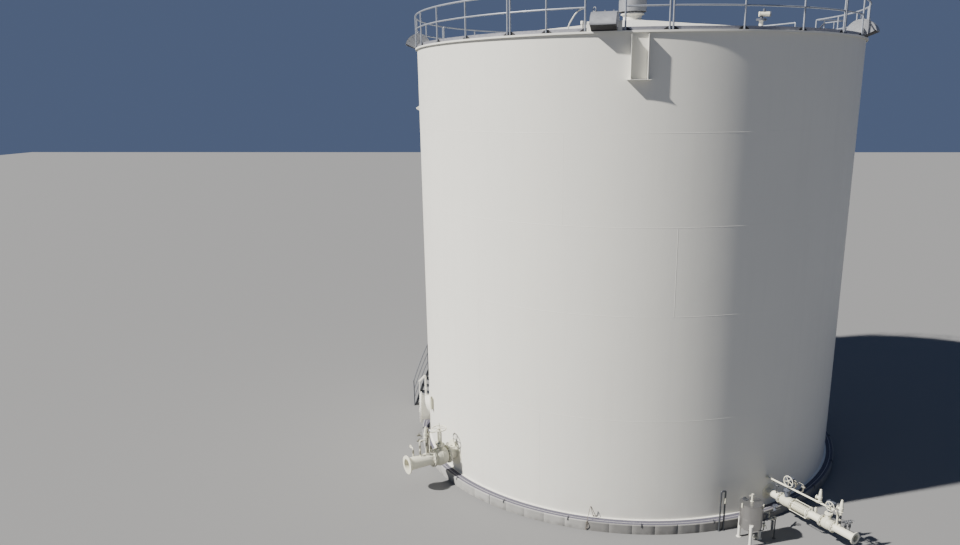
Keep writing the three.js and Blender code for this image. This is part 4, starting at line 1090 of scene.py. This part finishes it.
def inlet_train():
    place, height, joints, wheel = INLET.place, INLET.height, INLET.joints, INLET_WHEEL - INLET.height
    top, flat = height + INLET.pipe, 0.444
    INLET.nozzle(pad=0.42)
    valve = INLET.casting(joints[0], joints[1] - GAP)
    INLET.bolt(valve, joints[1])
    middle = (joints[0] + joints[1]) / 2
    bonnet = move(0, -middle, height)
    swells = ((1.05, 1.1, 0), (1.0, 1.0, 0.2), (0.92, 0.92, 0.33), (0.95, 0.96, 0.4))
    valve.loft([[(x * k, y * m, z) for x, y in oval(0.34, 0.17)] for k, m, z in swells], matrix=bonnet)
    for low, high in ((0.4, flat - 0.022), (0.424, flat)):
        valve.prism(oval(0.42, 0.25), low, high, bonnet)
    for x in (-0.17, -0.09, 0.09, 0.17):
        for y in (-0.095, 0.095):
            for low in (flat, flat - 0.06):
                valve.hexagon(x, y if abs(x) < 0.1 else y * 0.62, 0.014, low, low + 0.016, bonnet)
    for rise in (0.08, 0.2, 0.32):
        valve.prism(oval(0.36, 0.192), rise, rise + 0.014, bonnet)
    valve.loft([[(x * k, y * k, z) for x, y in oval(0.2, 0.16)]
                for k, z in ((1.0, 0.44), (0.8, 0.47), (0.55, 0.5))], matrix=bonnet)
    for side in (-1, 1):
        legs = ((0.06, 0.45), (0.1, 0.52), (0.1, wheel - 0.14), (0.06, wheel - 0.07))
        valve.loft([[(side * x + a, b, z) for a, b in slab(-0.014, 0.014, -0.024, 0.024)] for x, z in legs],
                   matrix=bonnet)
    valve.lathe([(0.045, 0.44), (0.045, 0.5), (0.03, 0.51), (0.03, 0.54)], 20, bonnet)
    valve.lathe([(0.06, wheel - 0.1), (0.072, wheel - 0.085), (0.072, wheel - 0.045), (0.04, wheel - 0.03)],
                28, bonnet)
    low, high, screw, pitch = 0.53, wheel + 0.19, 0.0142, 0.012
    levels = span(low, high, 2 * int((high - low) / pitch))
    valve.lathe([(screw if i % 2 else screw * 0.86, z) for i, z in enumerate(levels)], 16, bonnet)
    valve.piece("inlet_valve_body", VALVE, "inlet_valve")
    handwheel("inlet_wheel", place @ move(0, -middle, INLET_WHEEL), radius=0.25, spokes=6)
    INLET.gaskets()
    INLET.tail(circle_radius=0.258, depth=0.035)

    branch, fittings = Build(place), Build(place)
    for radius, bend, *path in (
            (0.025, 0.06, (0, 8.2, -0.02), (0, 8.2, 0.5), (0, 8.42, 0.5), (0, 8.42, 0.12)),
            (0.018, 0.05, (-0.1, 8.02, -0.06), (-0.1, 8.02, 0.7), (0.1, 8.06, 0.74), (0.14, 7.92, 0.74)),
            (0.022, 0.05, (-0.16, 7.3, 0.017), (-0.32, 7.3, 0.017), (-0.32, 7.3, -0.483),
             (-0.32, 7.18, -0.483)),
            (0.02, 0.05, (-0.1, 8.62, -0.06), (-0.1, 8.62, 0.26), (-0.26, 8.62, 0.26))):
        branch.elbow([(x, -reach, top + z) for x, reach, z in path], radius, bend)
    branch.stem(0, 8.42, top - 0.02, top + 0.06, 0.02)
    branch.stem(0, 8.2, top + 0.48, top + 0.56, 0.03, 14)
    relief_valve(branch, 0, 8.2, top + 0.54)
    branch.lathe(collar(0, 0.05, 0, 0.037), 24, along(OUTWARDS, -0.26, -8.6, top + 0.26))
    branch.piece("inlet_branches", PALE_VALVE)
    fittings.stem(-0.06, 8.12, top, top + 0.85, 0.045, 16)
    for x, reach, rise in ((0, 8.42, 0.1), (0, 8.42, 0.3), (-0.06, 8.12, 0.62), (0.02, 8.2, 0.34),
                           (-0.1, 8.62, 0.14), (0.05, 8.05, 0.2)):
        small_valves(fittings, (x, reach, top + rise, SIDEWAYS, 0.13))
    for x, reach, z in ((-0.06, 8.3, top + 0.42), (0.04, 8.34, top + 0.66), (-0.1, 8.02, top + 0.5)):
        fittings.rod((x, -reach, z), (x, -reach - 0.12, z + 0.06), 0.018, 10)
        small_valves(fittings, (x, reach + 0.13, z + 0.07, turn(90), 0.12))
    small_valves(fittings, (-0.24, 7.3, height + 0.22, turn(0), 0.12),
                 (-0.32, 7.3, height - 0.05, SIDEWAYS, 0.12))
    fittings.piece("inlet_fittings", FITTING)


def manway():
    place, height, pipe, flange, wall = turn(MANWAY_AT), 1.07, 0.457, 0.585, 0.0095
    face, axis = SHELL + 0.34, along(OUTWARDS, 0, 0, height)
    neck = Build(place).lathe([
        (pipe - wall, SHELL - 0.04), (pipe, SHELL - 0.04), (pipe, face - 0.04), (pipe + 0.012, face - 0.03),
        (flange, face - 0.027), (flange, face - GAP), (pipe - wall, face - GAP)], 64, axis, True)
    reinforcing_pad(neck, height, pipe, 0.86)
    neck.piece("manway_neck_pipe", CREAM, "manway_neck")
    cover = Build(place).lathe(collar(flange - 0.003, flange, face, face + 0.016, 0.003), 64, axis)
    cover.bolts(0.53, 42, 0.019, face - 0.027, face + 0.016, axis)
    for x in (-0.26, 0.26):
        ends = [(x, -face - 0.01, height + up) for up in (-0.065, 0.065)]
        cover.elbow(hoop(*ends, (0, -0.045, 0)), 0.009, 0.025, 10, 6)
    cover.piece("manway_cover_plate", CREAM, "manway_cover")

    davit, radius = Build(place), 0.034
    side, reach, hang, lift = -(flange + 0.05), SHELL + 0.17, face + 0.03, height + flange + 0.45
    davit.elbow([(side, -reach, height - 0.25), (side, -reach, lift), (0, -hang, lift)], radius, 0.12, 16, 6)
    davit.stem(0, hang, height + flange + 0.02, lift, 0.012, 10)
    davit.tube([(x, -hang, height + flange + z) for x, z, _ in circle(0.03, 16)], 0.008, 8, closed=True)
    for z in (height - 0.2, height + 0.25):
        davit.band(radius, 0.046, -0.03, 0.03, 20, move(side, -reach, z))
        davit.box((side - 0.012, side + 0.012), (SHELL - 0.03, reach - 0.02), (z - 0.03, z + 0.03))
    davit.piece("manway_davit", CREAM)


# Recovery vessel with its pipes, and the breather
def vessel():
    centre, radius, bottom, top = polar(8.18, VESSEL_AT), 0.31, 0.46, 1.21
    place = move(*centre)
    tub = Build(place).lathe([
        (0, bottom - 0.06), (radius * 0.35, bottom - 0.056), (radius * 0.7, bottom - 0.04),
        (radius * 0.92, bottom - 0.015), (radius, bottom + 0.02),
        *collar(radius, radius + 0.004, bottom + 0.3, bottom + 0.312), (radius, top - 0.03),
        (radius + 0.011, top - 0.028), (radius + 0.012, top - 0.016), (radius, top - 0.014)], 56)
    tub.lathe([(radius + 0.011, top - 0.013), (radius + 0.012, top - 0.002), (radius * 0.8, top + 0.008),
               (0, top + 0.018)], 56)
    tub.piece("vessel_tub", STAINLESS, "recovery_vessel")

    legs, fixings = Build(place), Build(place)
    for angle in (-5, 115, 235):
        x, y, _ = polar(radius + 0.008, angle)
        legs.stem(x, -y, 0.006, bottom + 0.16, 0.042, 18)
        legs.lathe([(0.073, 0), (0.073, 0.01), (0.05, 0.012)], 24, move(x, y, 0))
        legs.box(0.05, (radius - 0.004, radius + 0.012), (bottom + 0.03, bottom + 0.2), turn(angle))
    legs.piece("vessel_legs", CREAM)
    fixings.lathe([(0.05, top + 0.012), (0.05, top + 0.026), (0.03, top + 0.028), (0.03, top + 0.23),
                   (0.034, top + 0.232), (0.034, top + 0.239)], 24)
    for angle in (60, 180, 300):
        low, high = (polar(radius + 0.02, angle, top + z) for z in (-0.11, 0.02))
        fixings.box(0.02, (radius + 0.004, radius + 0.028), (top - 0.11, top + 0.004), turn(angle))
        fixings.rod(low, high, 0.007, 8)
        fixings.tube([high + Vector(point) for point in circle(0.016, 12)], 0.005, 6, closed=True)
    fixings.piece("vessel_fixings", VALVE)

    hatch, lid = Build(place @ turn(-150)), top + 0.015
    hatch.prism([(0.02, -0.28), (0.16, -0.24), (0.17, -0.1), (0.02, -0.1)], top + 0.006, top + 0.02)
    hatch.rod((0.04, -0.09, top + 0.014), (0.15, -0.09, top + 0.014), 0.011, 10)
    hatch.elbow(hoop((0.05, -0.2, lid), (0.12, -0.2, lid), (0, 0, 0.03)), 0.006, 0.015, 8, 6)
    hatch.piece("vessel_hatch", DARK)

    azimuth, level = DRAIN_AT, 0.64
    drain, valve, low = Build(), Build(turn(azimuth)), Build(place)
    drain.elbow([polar(SHELL - 0.02, azimuth, level), polar(SHELL + 0.3, azimuth, level),
                 centre + Vector((0, 0, level))], 0.03, 0.12)
    drain.band(0.028, 0.062, 0, 0.014, 24, turn(azimuth) @ along(OUTWARDS, 0, -(SHELL + 0.07), level))
    drain.piece("drain_line_pipe", CREAM, "drain_line")
    small_valves(valve, (0, SHELL + 0.2, level, turn(90), 0.12))
    valve.piece("drain_valve", VALVE)
    low.stem(0, 0, 0.3, bottom - 0.03, 0.022)
    small_valves(low, (0, 0, 0.27, SIDEWAYS, 0.13))
    low.elbow([(0, 0, 0.22), (0, 0, 0.12), (0.25, -0.02, 0.12)], 0.02, 0.05)
    low.piece("vessel_drain", VALVE)

    post, level, branch, taps, gates = (0.7, 0.2), 0.62, Build(place), Build(place), Build(place)
    branch.elbow([(radius - 0.01, 0.05, level), (0.45, 0.12, level), (0.6, 0.5, level), (0.98, 0.98, 0.52)],
                 0.022, 0.08)
    # This pipe turns down into the post, drawn in near-black dark steel as painted shade for the post's
    # shaded side.
    branch.elbow([(0.46, 0.14, level), (*post, level), (*post, 0.004)], 0.018, 0.05)
    branch.lathe([(0.05, 0.002), (0.05, 0.012), (0.02, 0.014)], 20, move(*post, 0))
    branch.elbow([(0.38, 0.085, level), (0.38, 0.085, 0.3), (0.2, 0.05, 0.3)], 0.014, 0.04)
    branch.piece("vessel_branch", DARK)
    small_valves(taps, (0.58, -0.17, level, turn(21), 0.12), (0.38, -0.085, 0.46, SIDEWAYS, 0.11),
                 (0.53, -0.32, level, turn(68), 0.12))
    taps.elbow([(radius - 0.01, 0, 0.9), (0.42, 0.02, 0.9), (0.53, 0.1, 0.82), (0.53, 0.32, 0.66)],
               0.009, 0.07)
    # The post's cream cap stands partly for a real cap and partly as a painted highlight on its sunlit top.
    taps.lathe([(0.03, 0.62), (0.034, 0.64), (0.034, 0.68), (0.02, 0.7)], 20, move(*post, 0))
    taps.piece("vessel_taps", VALVE)
    for spot in (along(turn(30), 0.78, 0.73, 0.66), along(turn(60), 0.45, 0.12, 0.7)):
        gates.lathe([(0.045, -0.09), (0.05, -0.03), (0.03, -0.02), (0.028, 0.03), (0.012, 0.035),
                     (0.012, 0.1)], 20, spot)
        gates.tube(circle(0.07, 24, 0.09), 0.008, 8, closed=True, matrix=spot)
        for angle in (0, 60, 120):
            gates.rod((-0.07, 0, 0.09), (0.07, 0, 0.09), 0.006, 6, spot @ turn(angle))
    gates.piece("vessel_gate_valves", OPERATOR)


def breather():
    half, pipe, top = 0.0675, 0.025, 1.25
    reach = RINGWALL + pipe + 0.0004
    loop, head = Build(turn(BREATHER_AT)), Build(turn(BREATHER_AT))
    loop.elbow(hoop((-half, -reach, 0), (half, -reach, 0), (0, 0, top)), pipe, 0.04, 14, 6)
    for x in (-half, half):
        loop.lathe([(pipe, 0), (0.045, 0), (0.045, 0.008), (pipe, 0.012)], 20, move(x, -reach, 0), True)
    loop.piece("breather_loop", DARK, "breather_pipe")
    head.lathe([(0.034, 0.86), (0.038, 0.87), (0.038, 0.93), (0.03, 0.95), (0.032, 1.0), (0.026, 1.03)], 20,
               move(half, -reach, 0))
    head.piece("breather_valve", VALVE)


# Small things on the shell, the ringwall and the roof
def shell_details():
    plate, front = Build(turn(PLATE_AT)), SHELL + 0.09
    plate.box(0.14, (front - 0.006, front), (1.62, 2.1))
    for x in (-1, 1):
        plate.box((0.1 * x - 0.004, 0.1 * x + 0.004), (SHELL - 0.004, front - 0.006), (1.66, 2.06))
        for z in (1.65, 2.07):
            plate.hexagon(0, 0, 0.008, 0, 0.006, along(OUTWARDS, 0.12 * x, -front, z))
    plate.piece("plate_holder", VALVE)

    lug = Build(turn(LUG_AT)).box(0.09, (SHELL - 0.004, SHELL + 0.01), (11.78, 11.98))
    web = ((0.008, 11.8), (0.12, 11.86), (0.12, 11.9), (0.008, 11.96))
    lug.sheet([(SHELL + out, z) for out, z in web], (-0.006, 0.006)).piece("shell_lug", CREAM)

    clips, count, first = Build(), 22, -11
    for k in range(count):
        place = turn(first + 360 / count * k)
        clips.box(0.014, (RINGWALL - 0.07, RINGWALL + 0.004), (0.2925, 0.301), place)
        clips.box(0.014, (RINGWALL + 0.004, RINGWALL + 0.012), (0.225, 0.301), place)
        eye = hoop((0, 0.06 - RINGWALL, 0.3), (0, 0.015 - RINGWALL, 0.3), (0, 0, 0.035))
        clips.elbow(eye, 0.007, 0.015, 8, 6, place)
    clips.piece("anchor_clips", DARK)

    cable = Build()
    for strand in (
            ((RINGWALL + 0.02, -6.85, 0.009), (RINGWALL + 0.014, -6.8, 0.2), (RINGWALL + 0.006, -6.6, 0.31),
             (7.4, -6.35, 0.5), (7.28, -6.06, 0.7), (7.24, -5.5, 0.52), (SHELL + 0.02, -4.9, 0.31)),
            ((7.28, -6.0, 0.67), (7.24, -5.7, 0.45), (SHELL + 0.02, -5.5, 0.31)),
            ((RINGWALL + 0.02, -6.85, 0.03), (RINGWALL + 0.03, -6.2, 0.17), (RINGWALL + 0.012, -6.6, 0.29))):
        cable.elbow([polar(*point) for point in strand], 0.0085, 0.06, 8, 4)
    for azimuth in (-4.9, -5.5):
        cable.box(0.02, (SHELL - 0.003, SHELL + 0.03), (0.302, 0.325), turn(azimuth))
    cable.piece("earth_cable", COPPER)


def roof_details():
    """The knee brace and the capped coupling beside the front rim vent."""
    bend = ((-13.05, 13.8), (-12.75, 13.95), (-12.4, 14.03), (-11.6, 14.182), (-10.95, 14.275),
            (-10.3, 14.31), (-9.7, 14.335))
    knee = Build().elbow([polar(RAIL_RADIUS - 0.05, azimuth, z) for azimuth, z in bend], 0.018, 0.05, 12, 3)
    knee.piece("rail_knee_brace", CREAM)
    coupling = Build(move(*polar(ROOF_EDGE - 0.09, COUPLING_AT)))
    coupling.lathe([(0.036, 13.8), (0.036, 13.96), (0.046, 13.965), (0.046, 14.03), (0.04, 14.04)], 20)
    coupling.piece("roof_coupling", CREAM)


# Floor, light and camera
def stage():
    ground = Build().box(150.0, (-150, 150), (-0.3, -0.002))
    mesh = bpy.data.meshes.new("floor")
    mesh.from_pydata([tuple(v) for v in ground.verts], [], ground.faces)
    floor = bpy.data.objects.new("floor", mesh)
    pale = Surface("floor_pale")
    pale.set(Base_Color=shade(0.2, 0.2, 0.2), Roughness=0.9)
    mesh.materials.append(pale.material)
    bpy.context.scene.collection.objects.link(floor)

    world = bpy.context.scene.world or bpy.data.worlds.new("world")
    bpy.context.scene.world = world
    world.use_nodes = True
    background = world.node_tree.nodes["Background"]
    background.inputs["Color"].default_value = shade(0.42, 0.57, 1.0)
    background.inputs["Strength"].default_value = 0.2

    sun = bpy.data.lights.new("key", "SUN")
    sun.energy = 9.5
    sun.angle = math.radians(1.5)
    sun.color = (1.0, 0.97, 0.91)
    key = bpy.data.objects.new("key", sun)
    azimuth, height = -65.5, math.radians(42)
    towards = polar(math.cos(height), azimuth, math.sin(height))
    key.rotation_euler = towards.to_track_quat("Z", "Y").to_euler()
    bpy.context.scene.collection.objects.link(key)


def camera():
    """The photograph's camera, solved from the seams, the rim and the ringwall."""
    focal_px, width_px, height_px = 770.88, 960, 545
    centre_px = (498.80, 296.47)
    pitch, yaw, roll = 0.2526, -0.1661, -0.0113
    forward = Vector((math.sin(yaw) * math.cos(pitch), math.cos(yaw) * math.cos(pitch), -math.sin(pitch)))
    right = Vector((math.cos(yaw), -math.sin(yaw), 0))
    up = right.cross(forward)
    rolled_right = right * math.cos(roll) + up * math.sin(roll)
    rolled_up = up * math.cos(roll) - right * math.sin(roll)
    lens = bpy.data.cameras.new("camera")
    lens.sensor_width = 36
    lens.lens = focal_px / width_px * 36
    lens.shift_x = (width_px / 2 - centre_px[0]) / width_px
    lens.shift_y = (centre_px[1] - height_px / 2) / width_px
    lens.clip_end = 1000
    eye = bpy.data.objects.new("camera", lens)
    basis = Matrix((rolled_right, rolled_up, -forward)).transposed()
    eye.matrix_world = move(0, -27.544, 12.2) @ basis.to_4x4()
    bpy.context.scene.collection.objects.link(eye)
    bpy.context.scene.camera = eye


camera()
stage()
foundation()
shell()
rim()
roof()
centre_vent()
for number, azimuth in enumerate(VENT_AZIMUTHS, 1):
    rim_vent(number, azimuth)
for number, posts in enumerate(RAIL_LENGTHS, 1):
    roof_rail(number, posts)
rail_feet()
gauge()
rim_bracket()
for number in range(1, FLIGHTS + 1):
    stair_flight(number)
top_landing()
outlet_train()
inlet_train()
manway()
vessel()
breather()
shell_details()
roof_details()

slots = {row["node"]: row["material_slot"] for row in frame["record"]["subparts"]}
for name, node in frame["nodes"].items():
    node.data.materials.clear()
    node.data.materials.append(LEFT_AS_BUILT[slots[name]])
